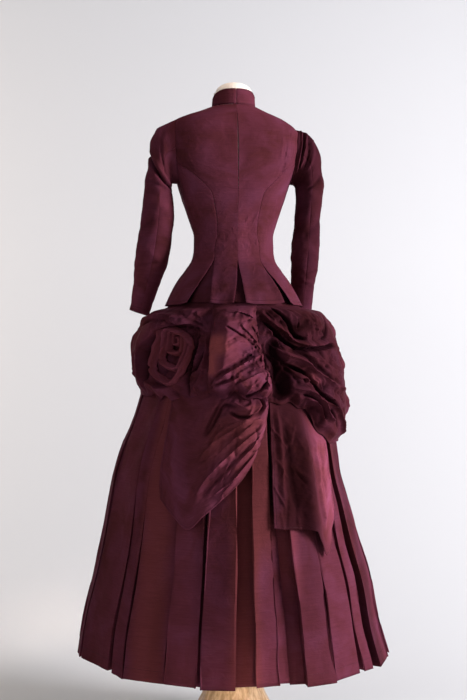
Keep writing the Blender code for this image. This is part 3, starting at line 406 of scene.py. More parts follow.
def gridMesh(name, grid, closed=False):
    # a mesh from rows of points in mm, with its grain laid out at real size in metres
    rows, columns = grid.shape[:2]
    mesh = bpy.data.meshes.new(name)
    around = columns if closed else columns - 1
    j, i = np.meshgrid(np.arange(rows - 1), np.arange(around), indexing="ij")
    k = (i + 1) % columns
    faces = np.stack([j * columns + i, (j + 1) * columns + i, (j + 1) * columns + k,
                      j * columns + k], axis=-1).reshape(-1, 4)
    mesh.from_pydata((grid * mm).reshape(-1, 3).tolist(), [], faces.tolist())
    acrossSteps = np.linalg.norm(np.diff(grid, axis=1), axis=-1)
    downSteps = np.linalg.norm(np.diff(grid, axis=0), axis=-1)
    across = np.concatenate([np.zeros((rows, 1)), np.cumsum(acrossSteps, axis=1)], axis=1)
    across -= across[:, columns // 2:columns // 2 + 1]
    down = np.concatenate([[0], np.cumsum(downSteps[:, columns // 2])])
    down = np.broadcast_to(down[:, None], across.shape)
    grain = np.stack([across, -down], axis=-1).reshape(-1, 2) * mm
    layer = mesh.uv_layers.new(name="grain")
    corners = np.empty(len(mesh.loops), dtype=np.int32)
    mesh.loops.foreach_get("vertex_index", corners)
    layer.data.foreach_set("uv", grain[corners].astype(np.float32).ravel())
    mesh.shade_smooth()
    spans = acrossSteps.sum(axis=1).max(), downSteps.sum(axis=0).max()
    diagonals = grid[1:, 1:] - grid[:-1, :-1], grid[1:, :-1] - grid[:-1, 1:]
    area = np.linalg.norm(np.cross(*diagonals), axis=-1).sum() / 2
    print("  %s: %d faces, up to %.0f by %.0f mm, %.4f square metres"
          % (name, len(faces), *spans, area * mm * mm))
    return mesh


def makeCloth(name, grid, node, tone=0, thick=cloth["thick"], sharp=cloth["sharp"],
              closed=False, relief=0.0):
    # One cut piece of silk: a shell on the outer face that the grid gives. Relief is how far
    # its folds stand out in mm: painted shade darkens the silk in its hollows and a painted highlight
    # lightens it on its edges.
    mesh = gridMesh(name, grid, closed)
    turn = np.degrees(np.arctan2(grid[..., 0], -grid[..., 1]))
    paintedShade, brown = paintedShadeAndBrownAt(name, turn, grid[..., 2])
    # painted shade in the fold hollows and a painted highlight on the crests, on top of the patches
    paintedShade = (paintedShade + np.clip(-relief / cloth["paintedShadeHollow"], 0, 1)
            - cloth["paintedHighlightShare"] * np.clip(relief / cloth["paintedHighlightCrest"], 0, 1))
    for key, values in (("paintedShade", paintedShade), ("brown", brown)):
        layer = mesh.attributes.new(key, "FLOAT", "POINT")
        layer.data.foreach_set("value", values.ravel().astype(np.float32))
    mesh.set_sharp_from_angle(angle=math.radians(sharp))
    piece = addObject(name, mesh)
    mesh.materials.append(silk[tone % len(silk)])
    shell = piece.modifiers.new("thickness", "SOLIDIFY")
    shell.thickness = thick * mm
    shell.offset = -1
    rideAsSilk(piece)
    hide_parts(node)


# sewing

sewing = {
    "pitch": 4.0,        # mm from stitch to stitch
    "length": 2.7,       # mm
    "thread": 0.5,       # mm across; real thread is about 0.3 mm, drawn coarser so that it shows
    "proud": 0.05,       # mm off the cloth
}
sewnLines = []


def sew(points, normals, pitch=None):
    # notes one line of stitches, which follows points on the cloth's outer face
    sewnLines.append((np.array(points, float), np.array(normals, float), pitch or sewing["pitch"]))


def makeStitches():
    # each stitch is a small block on the cloth's outer face
    blocks, count = [], 0
    signs = np.array([(a, b, c) for c in (0, 1) for a, b in ((-1, -1), (1, -1), (1, 1), (-1, 1))], float)
    for points, normals, pitch in sewnLines:
        run = np.concatenate([[0], np.cumsum(np.linalg.norm(np.diff(points, axis=0), axis=1))])

        def at(marks, table):
            return np.stack([np.interp(marks, run, table[:, c]) for c in range(3)], axis=-1)

        marks = np.arange(pitch / 2, run[-1] - pitch / 2, pitch)
        start, end = at(marks - 0.5, points), at(marks + 0.5, points)
        up, along = unit(at(marks, normals)), unit(end - start)
        across = np.cross(up, along)
        size = (min(sewing["length"], 0.7 * pitch) / 2, sewing["thread"] / 2, sewing["thread"] * 0.8)
        corners = [(start + end) / 2 + a * along + b * across + (c + sewing["proud"]) * up
                   for a, b, c in signs * size]
        blocks.append(np.stack(corners, axis=1).reshape(-1, 3))
        count += len(marks)
    sides = np.array([(3, 2, 1, 0), (4, 5, 6, 7), (0, 1, 5, 4), (1, 2, 6, 5), (2, 3, 7, 6), (3, 0, 4, 7)])
    faces = (np.arange(count)[:, None, None] * 8 + sides).reshape(-1, 4)
    mesh = bpy.data.meshes.new("stitching")
    mesh.from_pydata((np.concatenate(blocks) * mm).tolist(), [], faces.tolist())
    # twisted silk, a little darker than the cloth: a soft, low gloss
    thread, _, _ = newMaterial("silkThread", {
        "Base Color": hexToLinear("#3c161f"), "Roughness": 0.6, "IOR": 1.54, "Specular IOR Level": 0.1})
    mesh.materials.append(thread)
    rideAsSilk(addObject("stitching", mesh))
    print("  stitching:", count, "stitches")


# shapes that the pieces are cut to

bodiceRings = [
    (1070, 172, 170, 198, 117, 0, 2.10), (1100, 158, 155, 178, 109, 0, 2.10),
    (1130, 141, 138, 147, 101, 0, 2.10), (1160, 119, 117, 110, 93, 0, 2.15),
    (1185, 104, 103, 86, 86, 0, 2.20), (1205, 100, 100, 81.5, 82.5, 0, 2.20),
    (1240, 99, 99, 82, 89, 0, 2.20), (1270, 107, 106, 86, 103, 0, 2.25),
    (1300, 117, 116, 91, 117, 0, 2.30), (1335, 129, 128, 96, 127, 0, 2.40),
    (1377, 141, 141, 99, 126, 0, 2.60), (1420, 155, 157, 98, 114, 0, 2.80),
    (1460, 160, 164, 94, 100, 0, 2.90), (1500, 158, 161, 88, 84, 0, 2.80),
    (1514, 155, 151, 84.5, 77, 0, 2.70), (1530, 146, 128, 79, 70, 0, 2.60),
    (1541, 124, 106, 74.5, 64, 0, 2.40), (1553, 87, 80, 67.5, 57.5, 0, 2.20),
    (1566, 54.5, 54.5, 57, 50, 0, 2.00)]
skirtRings = [
    (200, 388, 396, 400, 288, 54, 2.00), (300, 373, 366, 389, 272, 46, 2.00),
    (400, 349, 346, 376, 256, 38, 2.00), (500, 327, 312, 361, 238, 30, 2.00),
    (600, 309, 284, 343, 218, 22, 2.00), (660, 298, 266, 333, 205, 18, 2.00),
    (730, 275, 254, 319, 187, 12, 2.00), (780, 253, 246, 307, 174, 8, 2.00),
    (820, 240, 240, 296, 163, 5, 2.00), (900, 218, 220, 272, 143, 2, 2.00),
    (950, 205, 205, 252, 131, 0, 2.00), (1000, 189, 189, 226, 119, 0, 2.05),
    (1050, 168, 168, 194, 107, 0, 2.10), (1070, 157, 157, 179, 103, 0, 2.10),
    (1100, 140, 140, 157, 96, 0, 2.10), (1130, 122, 122, 127, 89, 0, 2.10),
    (1160, 105, 105, 93, 82, 0, 2.15), (1185, 94.5, 94.5, 76, 77, 0, 2.20)]
waist, peplumHem, neckline = 1185.0, 1070.0, 1566.0
degreeLength = 5.3      # mm of arc in a degree of turn, out where the drapery hangs

bodiceFace = ringSurface(bodiceRings)
skirtFace = ringSurface(skirtRings)


def levelWay(turn, height):
    way = outward(skirtFace, turn, height)
    way[..., 2] = 0
    return unit(way)


def standOff(turn, height, out):
    return skirtFace(turn, height) + np.asarray(out)[..., None] * levelWay(turn, height)


# bodice

bodice = {
    "heights": [1070, 1100, 1130, 1160, 1185, 1205, 1250, 1290, 1335, 1387, 1420],
    "centreLeft": [7.0, 5.2, 3.4, 1.6, 0, 0, 0, 0, 0, 0, 0],
    "centreRight": [1.5, 1.0, 0.7, 0.3, 0, 0, 0, 0, 0, 0, 0],
    "tabLeft": [25.5, 26.5, 28, 29.5, 31, 31.5, 27, 24.5, 24.5, 41, 66.4],
    "tabRight": [34, 33.4, 32.8, 32, 31, 31.5, 27, 24.5, 24.5, 41, 64.9],
    "sideBackLeft": [46, 42.5, 39, 35, 31, 31.5, 27, 24.5, 24.5, 41, 66.4],
    "sideBackRight": [40.5, 38, 35.6, 33, 31, 31.5, 27, 24.5, 24.5, 41, 64.9],
    "underarmBack": [80, 79, 78, 78, 78, 78, 78, 78, 78, 78, 78],
    "underarmFront": [102] * 11,
    # height of an armhole's middle, half its height, half its width as a turn
    "armholes": {-1: (1456, 79, 25), 1: (1444, 65, 25)},
    "foot": 1069.5,
    "underarm": 1387.0,            # where the side panels end and the armholes' curve takes over
    "sideBackTop": 1420.0,
    "frontLap": 3.5,
    "seam": 0.1,                   # as a turn, left open on each side of a seam
    "seamDip": 0.25,               # mm that the cloth is drawn in along a seam
    "pucker": 0.28,                # mm, where the stitching draws the cloth up beside it
    "crumple": (48, 0.9),          # mm across and mm high
    "step": 4.0,                   # mm between points
    # the peplum springs out from this height, over this many mm and within these turns of the back
    "springs": (1168, 105, 62),
    # most beside its pleats: turns of the edge down to the hem, reach and spring in mm
    "flares": [((-46, -42.5, -39, -35, -31), 16, 8), ((-25.5, -26.5, -28, -29.5, -31), 12, 5),
               ((-7, -5.2, -3.4, -1.6, 0), 10, 4), ((1.5, 1, 0.7, 0.3, 0), 10, 5),
               ((34, 33.4, 32.8, 32, 31), 14, 6), ((40.5, 38, 35.6, 33, 31), 16, 9)],
}
# creases that the cloth takes where it is strained, as the overskirt's folds are written
bodiceCreases = [
    (-0.9, 5, 5, 0, 0.3, [(-48, 1345), (-24, 1352), (0, 1350), (22, 1346), (40, 1352)]),
    (-0.8, 4, 4, 0, 0.3, [(-6, 1540), (-7, 1505), (-4, 1470)]),
    (1.0, 5, 5, 0, 0.3, [(6, 1542), (8, 1500), (5, 1465)]),
    (1.2, 5, 4, 0, 0.2, [(14, 1232), (26, 1222), (44, 1226)]),
    (1.2, 4, 5, 0, 0.2, [(10, 1214), (24, 1208), (40, 1212)]),
    (-1.1, 4, 4, 0, 0.2, [(-26, 1228), (-12, 1222), (-2, 1224)]),
    (1.1, 6, 6, 0, 0.2, [(-60, 1238), (-46, 1226), (-34, 1222)]),
    (2.0, 7, 5, 0, 0.2, [(72, 1470), (66, 1430), (62, 1396)]),
    (1.6, 6, 5, 0, 0.2, [(64, 1462), (58, 1424), (55, 1392)]),
    (1.8, 7, 6, 0, 0.3, [(-70, 1450), (-62, 1418), (-58, 1384)]),
]
# finer ones, scattered: seed, count, turns, heights, way, lengths, rise and width
for row in ((301, 34, (34, 70), (1390, 1500), 82, (34, 90), 1.3, 6.0),
            (302, 34, (2, 60), (1190, 1290), 14, (20, 54), 1.2, 4.0),
            (303, 16, (-60, -2), (1190, 1270), -12, (16, 40), 1.0),
            (304, 18, (-66, -40), (1390, 1500), -70, (20, 50), 1.5, 4.0),
            (305, 22, (-60, 60), (1078, 1165), 10, (16, 44), 0.8),
            (306, 14, (-34, 34), (1400, 1540), 0, (20, 50), 0.7)):
    bodiceCreases += scatter(*row)


def armholeTurn(side, height):
    middle, rise, turn = bodice["armholes"][side]
    share = (height - middle) / rise
    return turn * np.sqrt(np.clip(1 - share * share, 0, None))


def bodiceEdge(key):
    return curveThrough(bodice["heights"], bodice[key])


def panelPoints(side, first, last, top, nearSeam=0.9):
    # turns and heights over a panel: first and last give the turns of its edges at each height
    heights = np.concatenate([np.arange(bodice["foot"], top, bodice["step"]), [top]])
    a, b = side * first(heights), side * last(heights)
    width = np.max(np.abs(b - a)) * 2.4
    near, far = np.array([0, nearSeam, 2.2]) / width, np.array([0, 0.9, 2.2]) / width
    between = np.linspace(0, 1, max(6, int(width / bodice["step"])))[1:-1]
    u = np.concatenate([near, between, 1 - far[::-1]])
    if side < 0:
        a, b, u = b, a, 1 - u[::-1]
    turn = a[:, None] + (b - a)[:, None] * u[None]
    return turn[::-1], np.broadcast_to(heights[:, None], turn.shape)[::-1]


def finishPanel(name, node, turn, height, tone):
    grid = bodiceFace(turn, height)
    gap = np.linalg.norm(np.diff(grid, axis=1), axis=-1)
    along = np.concatenate([np.zeros((len(grid), 1)), np.cumsum(gap, axis=1)], axis=1)
    edge = np.minimum(along, along[:, -1:] - along)
    rise, _, _ = foldField(turn * degreeLength, height, bodiceCreases)
    size, tall = bodice["crumple"]
    rise = rise + tall * crumple(grid, size, 11) * (1 - np.exp(-edge / 6))
    # the centre back seam is pressed flatter than the others
    rise -= bodice["seamDip"] * np.where(np.abs(turn) < 1, 0.3, 1.5) * np.exp(-(edge / 1.2) ** 2)
    start, over, reach = bodice["springs"]
    flare = smoothStep((start - height) / over) * (np.abs(turn) < reach)
    for mark, reach, tall in bodice["flares"]:
        marks = curveThrough(bodice["heights"][:5], mark)(np.minimum(height, waist))
        rise = rise + tall * flare * np.exp(-((turn - marks) * 2.6 / reach) ** 2)
    pucker = np.sin(height / 6.5 + 3 * np.sin(height / 31)) * np.exp(-(edge / 7) ** 2)
    rise += bodice["pucker"] * pucker
    normals = outward(bodiceFace, turn, height)
    grid = grid + normals * rise[..., None]
    sew(grid[-3], normals[-3])
    makeCloth(name, grid, node, tone)


def makeBodice():
    top, seam, underarm = neckline - 0.3, bodice["seam"], bodice["underarm"]
    for side, hand in ((-1, "Left"), (1, "Right")):
        centre, tab, sideBack = [bodiceEdge(key + hand) for key in ("centre", "tab", "sideBack")]
        back, front = bodiceEdge("underarmBack"), bodiceEdge("underarmFront")
        # each panel: its two edges as turns, its top, its cut and its tone of silk
        panels = {
            "back": (lambda z: np.where(z < waist, centre(z), 0.04),
                     lambda z: np.where(z <= 1420, tab(z) - seam, 90 - armholeTurn(side, z)),
                     top, (185, 520, 0.58), side > 0),
            "side_back": (lambda z: sideBack(z) + seam,
                          lambda z: np.where(z > underarm, 90 - armholeTurn(side, z), back(z) - seam),
                          bodice["sideBackTop"], (130, 380, 0.65), 1 + (side > 0)),
            "front": (lambda z: np.where(z > underarm, 90 + armholeTurn(side, z), front(z) + seam),
                      lambda z: 0 * z + 180 + side * bodice["frontLap"] - seam * side,
                      top, (210, 560, 0.76), 2 + (side > 0)),
            "side": (lambda z: back(z) + seam, lambda z: front(z) - seam, underarm, (72, 320, 0.78), 2),
        }
        for part, (first, last, upTo, cut, tone) in panels.items():
            turn, height = panelPoints(side, first, last, upTo, 0.25 if part == "back" else 0.9)
            if part == "side":      # its top is scooped out under the arm
                middle, rise, half = bodice["armholes"][side]
                share = np.clip(np.abs(np.abs(turn) - 90) / half, 0, 1)
                scoop = middle - rise * np.sqrt(1 - share * share)
                height = np.minimum(height, np.maximum(scoop, 1375))
            name = part.title().replace("_", "")
            finishPanel("bodice" + name + hand, "bodice_%s_%s" % (part, hand.lower()),
                        turn, height, tone)


makeBodice()


# the insides of the peplum's pleats

peplumPleats = {
    # the bodice's edges that each lies between, on which side of the centre back, and its cut
    "left": ("sideBackLeft", "tabLeft", -1, -1, (86, 110, 0.75)),
    "centre": ("centreLeft", "centreRight", -1, 1, (56, 110, 0.9)),
    "right": ("tabRight", "sideBackRight", 1, 1, (47, 110, 0.8)),
    "foot": 1077,
    "top": 1180,
    "tuck": 5.0,        # as a turn, under each edge
    "depth": 4.0,       # mm under the bodice at the top
    "deepens": 3.0,     # mm more at the hem
    "crease": 2.0,      # mm that its sides stand out again
}


def makePeplumPleats():
    for hand in ("left", "centre", "right"):
        firstKey, lastKey, firstSide, lastSide, cut = peplumPleats[hand]
        heights = np.linspace(peplumPleats["foot"], peplumPleats["top"], 30)[::-1]
        a = firstSide * bodiceEdge(firstKey)(heights) - peplumPleats["tuck"]
        b = lastSide * bodiceEdge(lastKey)(heights) + peplumPleats["tuck"]
        u = np.linspace(0, 1, 26)
        turn = a[:, None] + (b - a)[:, None] * u
        height = np.broadcast_to(heights[:, None], turn.shape)
        depth = peplumPleats["depth"] + peplumPleats["deepens"] * smoothStep((1160 - height) / 90)
        crease = peplumPleats["crease"] * np.abs(2 * u[None] - 1) * smoothStep((1150 - height) / 60)
        out = crease - depth
        grid = bodiceFace(turn, height) + outward(bodiceFace, turn, height) * out[..., None]
        makeCloth("peplumPleat" + hand.capitalize(), grid, "peplum_pleat_" + hand,
                  1)


makePeplumPleats()


# stand collar

collar = {
    "rings": [(1566, 54, 54, 56.5, 49.5, 0, 2.0), (1606, 52, 52, 54.5, 47.5, 0, 2.0)],
    "rise": 39.0,        # mm at the centre back
    "drop": 18.0,        # mm lower in front
    "thick": 1.8,
    "crumple": (22, 0.8),
    "cut": (167, 38, 0.8),
}
collarFace = ringSurface(collar["rings"])


def makeCollar():
    for side, hand in ((-1, "Left"), (1, "Right")):
        turns = np.concatenate([[0.3, 0.55], np.linspace(3, 177, 58), [179.45, 179.7]]) * side
        if side < 0:
            turns = turns[::-1]
        share = (1 - np.cos(np.radians(turns))) / 2
        tops = neckline + collar["rise"] - collar["drop"] * smoothStep(share * 1.6)
        v = np.linspace(1, 0, 14)[:, None]
        height = neckline + (tops - neckline)[None] * v
        turn = np.broadcast_to(turns[None], height.shape)
        edge = np.minimum(1 - v, v) * collar["cut"][1]
        size, tall = collar["crumple"]
        rise = tall * crumple(collarFace(turn, height), size, 21) - 0.5 * np.exp(-(edge / 2) ** 2)
        rise = rise - 0.9 * np.exp(-(turn / 3.0) ** 2)      # the seam at the centre back
        ways = outward(collarFace, turn, height)
        grid = collarFace(turn, height) + ways * rise[..., None]
        for row in (1, -2):
            sew(grid[row], ways[row])
        makeCloth("collar" + hand, grid, "collar_" + hand.lower(),
                  thick=collar["thick"])


makeCollar()
print("bodice made")


# sleeves: rows of inner, height, tilt, reach, forward, depth from the armhole to the cuff

sleeves = {
    "left": [(152, 1375, 74, 140, 0, 57), (154, 1371, 55, 98, -6, 55), (155, 1366, 32, 71, -12, 52),
             (154, 1354, 10, 71, -15, 48), (150, 1300, 4, 80, -10, 45), (154, 1240, 4, 82, 8, 43),
             (162, 1178, 6, 83, 34, 41), (171, 1148, 8, 75, 50, 38), (183, 1116, 10, 64, 68, 34),
             (195, 1082, 14, 57, 84, 31), (206, 1047, 18, 53, 100, 29)],
    "right": [(152, 1375, 76, 136, 0, 57), (154, 1371, 56, 110, -6, 55), (155, 1366, 33, 78, -12, 52),
              (155, 1354, 10, 70, -15, 48), (154, 1300, 3, 64, -10, 44), (151, 1240, 0, 69, 8, 42),
              (151, 1178, 0, 69, 34, 40), (153, 1148, 0, 65, 50, 38), (155, 1116, 0, 61, 68, 35),
              (157, 1082, 0, 58, 84, 32), (158, 1052, 0, 55, 98, 30)],
    "cutUpper": (220, 520, 0.57),
    "cutUnder": (200, 430, 0.57),
    "radius": 45.0,      # mm, to turn angles round a sleeve into lengths
    "crumple": (40, 2.2),
    "seamDip": {"left": 0.12, "right": 0.35},
    "rows": 110,
    "columns": 30,
}
# Creases on each sleeve: rise, width, angle and station where they start, then where they end.
# The angle is 0 under the arm and grows through the back, and stations are the rows above.
sleeveCreases = {
    "left": [(-17.0, 0.09, 3.5, 1.95, 0.1, 4.1), (3.5, 0.15, 3.3, 1.45, 0.5, 3.3),
             (-4.0, 0.08, 2.8, 0.4, 1.2, 2.2), (-3.5, 0.10, 2.6, 3.6, 1.2, 4.1),
             (3.0, 0.12, 2.4, 4.6, 1.0, 4.9), (-3.0, 0.10, 2.4, 5.6, 1.2, 5.2),
             (3.0, 0.12, 2.3, 6.4, 1.2, 6.9), (-2.6, 0.1, 2.6, 7.6, 1.4, 7.2),
             (2.6, 0.1, 2.2, 8.2, 1.5, 8.9), (-2.4, 0.1, 2.4, 9.3, 1.5, 8.8)],
    "right": [(5.0, 0.06, 2.8, 0.40, 1.0, 0.55), (-5.0, 0.05, 2.7, 0.62, 1.1, 0.80),
              (5.0, 0.06, 2.7, 0.85, 1.2, 1.1), (-5.0, 0.06, 2.6, 1.1, 1.3, 1.5),
              (4.0, 0.08, 2.6, 1.4, 1.5, 2.0), (-3.5, 0.10, 2.3, 3.4, 1.2, 4.0),
              (3.5, 0.12, 2.4, 4.6, 1.3, 4.2), (-3.0, 0.12, 2.6, 5.4, 1.3, 5.9),
              (3.0, 0.12, 2.4, 6.6, 1.2, 6.3), (-2.6, 0.1, 2.5, 7.6, 1.4, 8.0),
              (2.6, 0.1, 2.3, 8.6, 1.4, 8.4)],
}


def makeSleeves():
    for side, hand in ((-1, "left"), (1, "right")):
        rows = np.array(sleeves[hand], float)
        steps = np.arange(1, len(rows) + 1)
        inner, level, tilt, reach, forward, depth = [curveThrough(steps, rows[:, k]) for k in range(6)]
        centre, rise, half = bodice["armholes"][side]

        def place(angle, station):
            # points round the sleeve, which starts on the bodice at the armhole
            angle, station = np.broadcast_arrays(angle, station)
            turn = 90 - 1.05 * half * np.sin(angle)
            height = centre - 1.04 * rise * np.cos(angle)
            head = bodiceFace(side * turn, height) + 0.5 * outward(bodiceFace, side * turn, height)
            s = np.maximum(station, 1)
            lean = np.radians(tilt(s))
            wide = reach(s) / 2
            way = np.stack([side * np.cos(lean), 0 * lean, np.sin(lean)], axis=-1)
            middle = np.stack([side * inner(s), forward(s), level(s)], axis=-1) + way * wide[..., None]
            ring = middle - way * (wide * np.cos(angle))[..., None]
            ring[..., 1] -= depth(s) * np.sin(angle)
            share = np.clip(station, 0, 1)[..., None]
            return head * (1 - share) + ring * share

        quarter, radius = math.pi / 2, sleeves["radius"]
        stations = np.linspace(0, len(rows), sleeves["rows"])[:, None]
        for part, low, high in (("under", 0.001 - quarter, quarter - 0.001),
                                ("upper", quarter + 0.001, 3 * quarter - 0.001)):
            near = np.array([0, 0.02, 0.05])
            angles = np.concatenate([low + near, np.linspace(low, high, sleeves["columns"])[1:-1],
                                     high - near[::-1]])[None]
            if side < 0:
                angles = angles[:, ::-1]
            grid = place(angles, stations)
            normals = gridNormals(grid)
            edge = np.minimum(angles - low, high - angles) * radius
            size, tall = sleeves["crumple"]
            lift = tall * crumple(grid, size, 31 + side) * (1 - np.exp(-edge / 8))
            lift = lift - sleeves["seamDip"][hand] * np.exp(-(edge / 1.2) ** 2)
            for tall, width, a, s, b, t in sleeveCreases[hand]:
                runA, runS = (b - a) * radius, (t - s) * radius
                x, y = (angles - a) * radius, (stations - s) * radius
                along = np.clip((x * runA + y * runS) / (runA ** 2 + runS ** 2), 0, 1)
                away = np.hypot(x - along * runA, y - along * runS) / (2 * width * radius)
                lift = lift + tall * np.clip(1.15 - np.sqrt(away ** 2 + 0.02), 0, 1) ** 1.3
            # the folds' relief, which also sets where painted shade and a painted highlight go
            relief = lift * smoothStep(stations / 0.6)
            # the cloth is drawn in along the cuff's stitching
            lift = relief - 0.6 * np.exp(-((stations - len(rows) + 0.33) / 0.05) ** 2)
            grid = grid + normals * lift[..., None]
            sew(grid[-4], normals[-4])
            name, label = part.capitalize(), hand.capitalize()
            makeCloth("sleeve" + name + label, grid, "sleeve_%s_%s" % (part, hand),
                      side > 0, relief=relief)


makeSleeves()
print("sleeves made")


# pleated skirt

skirt = {
    # start and end of each face as turns, and how far each edge is sunk, round the back
    "backPleats": [(-79, -57.4, 3, 9), (-56.7, -49.3, 12, 2), (-48.6, -32, 4, 10), (-31.2, -20, 0, 4),
                   (-18.5, -6.5, 3, 0), (0.5, 9, 0, 9), (17.5, 29.1, 1, 0), (29.9, 42.4, 0, 3),
                   (46, 53, 7, 9), (56.8, 70, 0, 0)],
    "pleats": 24,
    "pleatsABreadth": 3,
    "frontFaceShare": 0.7,       # of the pitch of the plain pleats, round the sides and front
    "hem": 200.0,
    "depth": 24.0,               # mm at the hem
    "deepens": 0.062,            # mm of depth for each mm below the waist
    "flushAbove": 840.0,         # no face is sunk above this height
    "sunkFullyBelow": 380.0,
    "closedAbove": 780.0,        # narrow gaps between pleats stay shut above this height
    "opensOver": 380.0,
    "narrow": 2.0,               # a narrow gap, as a turn
    "undercutShare": 0.45,       # how far a pleat's inner folds lie under its face
    "undercutFrom": 6.0,
    "lumps": (60, 2.0),          # mm across and mm high
    "crumple": (60, 2.6),
    "rows": 112,
    "cut": (560, 1020, 0.65),
}


def allPleats():
    back = skirt["backPleats"]
    first = back[-1][1]
    left = 360 + back[0][0] - first
    plain = skirt["pleats"] - len(back)
    pitch = left / (plain + 1 - skirt["frontFaceShare"])
    gap = pitch * (1 - skirt["frontFaceShare"])
    starts = [first + gap + pitch * k for k in range(plain)]
    return back + [(s, s + pitch * skirt["frontFaceShare"], 0, 3) for s in starts]


def makeSkirt():
    pleats = allPleats()
    heights = np.linspace(waist - 0.3, skirt["hem"], skirt["rows"])
    depth = np.minimum(skirt["depth"], 0.2 + (waist - heights) * skirt["deepens"])
    tuck = np.maximum(0, depth - skirt["undercutFrom"]) * skirt["undercutShare"]
    settle = smoothStep((skirt["flushAbove"] - heights) / (skirt["flushAbove"] - skirt["sunkFullyBelow"]))
    openness = smoothStep((skirt["closedAbove"] - heights) / skirt["opensOver"])

    def corner(turn, sunk, tuckBy, sway):
        turn = turn + sway
        way = levelWay(turn, heights)
        along = np.stack([-way[:, 1], way[:, 0], 0 * heights], axis=-1)
        sunk, tuckBy = np.reshape(sunk, (-1, 1)), np.reshape(tuckBy, (-1, 1))
        return skirtFace(turn, heights) - way * sunk + along * tuckBy

    def swayOf(n):
        # the pleats aren't pressed dead straight
        down = (waist - heights) / 1000
        rng = np.random.default_rng(400 + n % skirt["pleats"])
        a, b = rng.uniform(-0.6, 0.6), rng.uniform(0, 6)
        return (a * np.sin(down * 5 + b) + rng.uniform(-0.35, 0.35) * np.sin(down * 15 + b)
                + rng.uniform(-0.2, 0.2) * np.sin(down * 37 + b)) * down

    def sides(k):
        # a pleat's two edges all the way down, at any count round the skirt
        start, end = [pleats[k % count][c] + 360 * (k // count) for c in (0, 1)]
        before = pleats[(k - 1) % count][1] + 360 * ((k - 1) // count)
        after = pleats[(k + 1) % count][0] + 360 * ((k + 1) // count)
        if start - before < skirt["narrow"]:
            start = blend((start + before) / 2 + 0.04, start, openness)
        if after - end < skirt["narrow"]:
            end = blend((end + after) / 2 - 0.04, end, openness)
        return start, end

    count, perBreadth = len(pleats), skirt["pleatsABreadth"]
    for b in range(count // perBreadth):
        columns = []
        for k in range(b * perBreadth, (b + 1) * perBreadth):
            # from the middle of the gap before the pleat, over its face, to the middle of the next
            sunkA, sunkB = pleats[k][2:]
            before, after = pleats[k - 1], pleats[(k + 1) % count]
            start, end = sides(k)
            beforeEnd, afterStart = sides(k - 1)[1], sides(k + 1)[0]
            sway, swayB, swayA = swayOf(k), swayOf(k - 1), swayOf(k + 1)
            inBefore = corner(beforeEnd, depth + before[3] * settle, -tuck, swayB)
            inStart = corner(start, depth + sunkA * settle, tuck, sway)
            faceA = corner(start, sunkA * settle, 0, sway)
            faceB = corner(end, sunkB * settle, 0, sway)
            inEnd = corner(end, depth + sunkB * settle, -tuck, sway)
            inAfter = corner(afterStart, depth + after[2] * settle, tuck, swayA)
            runs = ((inBefore, inStart, (0.5, 0.97)), (inStart, faceA, (0.15, 0.55, 0.93)),
                    (faceA, faceB, (0.0, 0.012, 0.06, 0.18, 0.34, 0.5, 0.66, 0.82, 0.94, 0.988, 1.0)),
                    (faceB, inEnd, (0.07, 0.45, 0.85)), (inEnd, inAfter, (0.03, 0.5)))
            columns += [blend(a, z, share) for a, z, shares in runs for share in shares]
        grid = np.stack(columns, axis=1)
        share = (waist - grid[..., 2]) / (waist - skirt["hem"])
        uneven = 4 + 4 * np.sin(np.arange(grid.shape[1]) / 21 * 2.4 + b * 1.7)
        grid[..., 2] += uneven[None] * share ** 3
        normals = gridNormals(grid)
        low = smoothStep((1100 - grid[..., 2]) / 300)
        # lumps and creases are longer down the cloth than across it
        (lump, lumpRise), (size, tall) = skirt["lumps"], skirt["crumple"]
        rise = (lumpRise * smoothNoise(grid * (1, 1, 0.35), lump, 41)
                + tall * crumple(grid * (1, 1, 0.45), size, 42)) * low
        grid = grid + normals * rise[..., None]
        for first in (6, 27, 48):      # along each pleat's face
            sew(grid[-4, first:first + 9], normals[-4, first:first + 9])
        makeCloth("skirtBreadth%d" % (b + 1), grid, "skirt_breadth_%d" % (b + 1),
                  b % 2, sharp=32)


makeSkirt()


# waistbands

waistbands = {
    "skirt_waistband": {"out": 0.0, "thick": 1.8, "cut": (540, 20)},
    "overskirt_waistband": {"out": 2.6, "thick": 1.8, "cut": (556, 20)},
}


def makeWaistbands():
    for node, band in waistbands.items():
        turns = np.linspace(-180, 180, 91)[:-1]
        turn = np.broadcast_to(turns[None], (5, len(turns)))
        grid = skirtFace(turn, waist + 0 * turn) + levelWay(turn, waist + 0 * turn) * band["out"]
        grid[..., 2] = np.linspace(waist + band["cut"][1], waist, 5)[:, None]
        makeCloth(node.replace("_waistband", "Band"), grid, node,
                  thick=band["thick"], closed=True)


makeWaistbands()
print("skirt made")


# overskirt: ribs are rows of turn, foot height and how far the cloth stands off on the way down

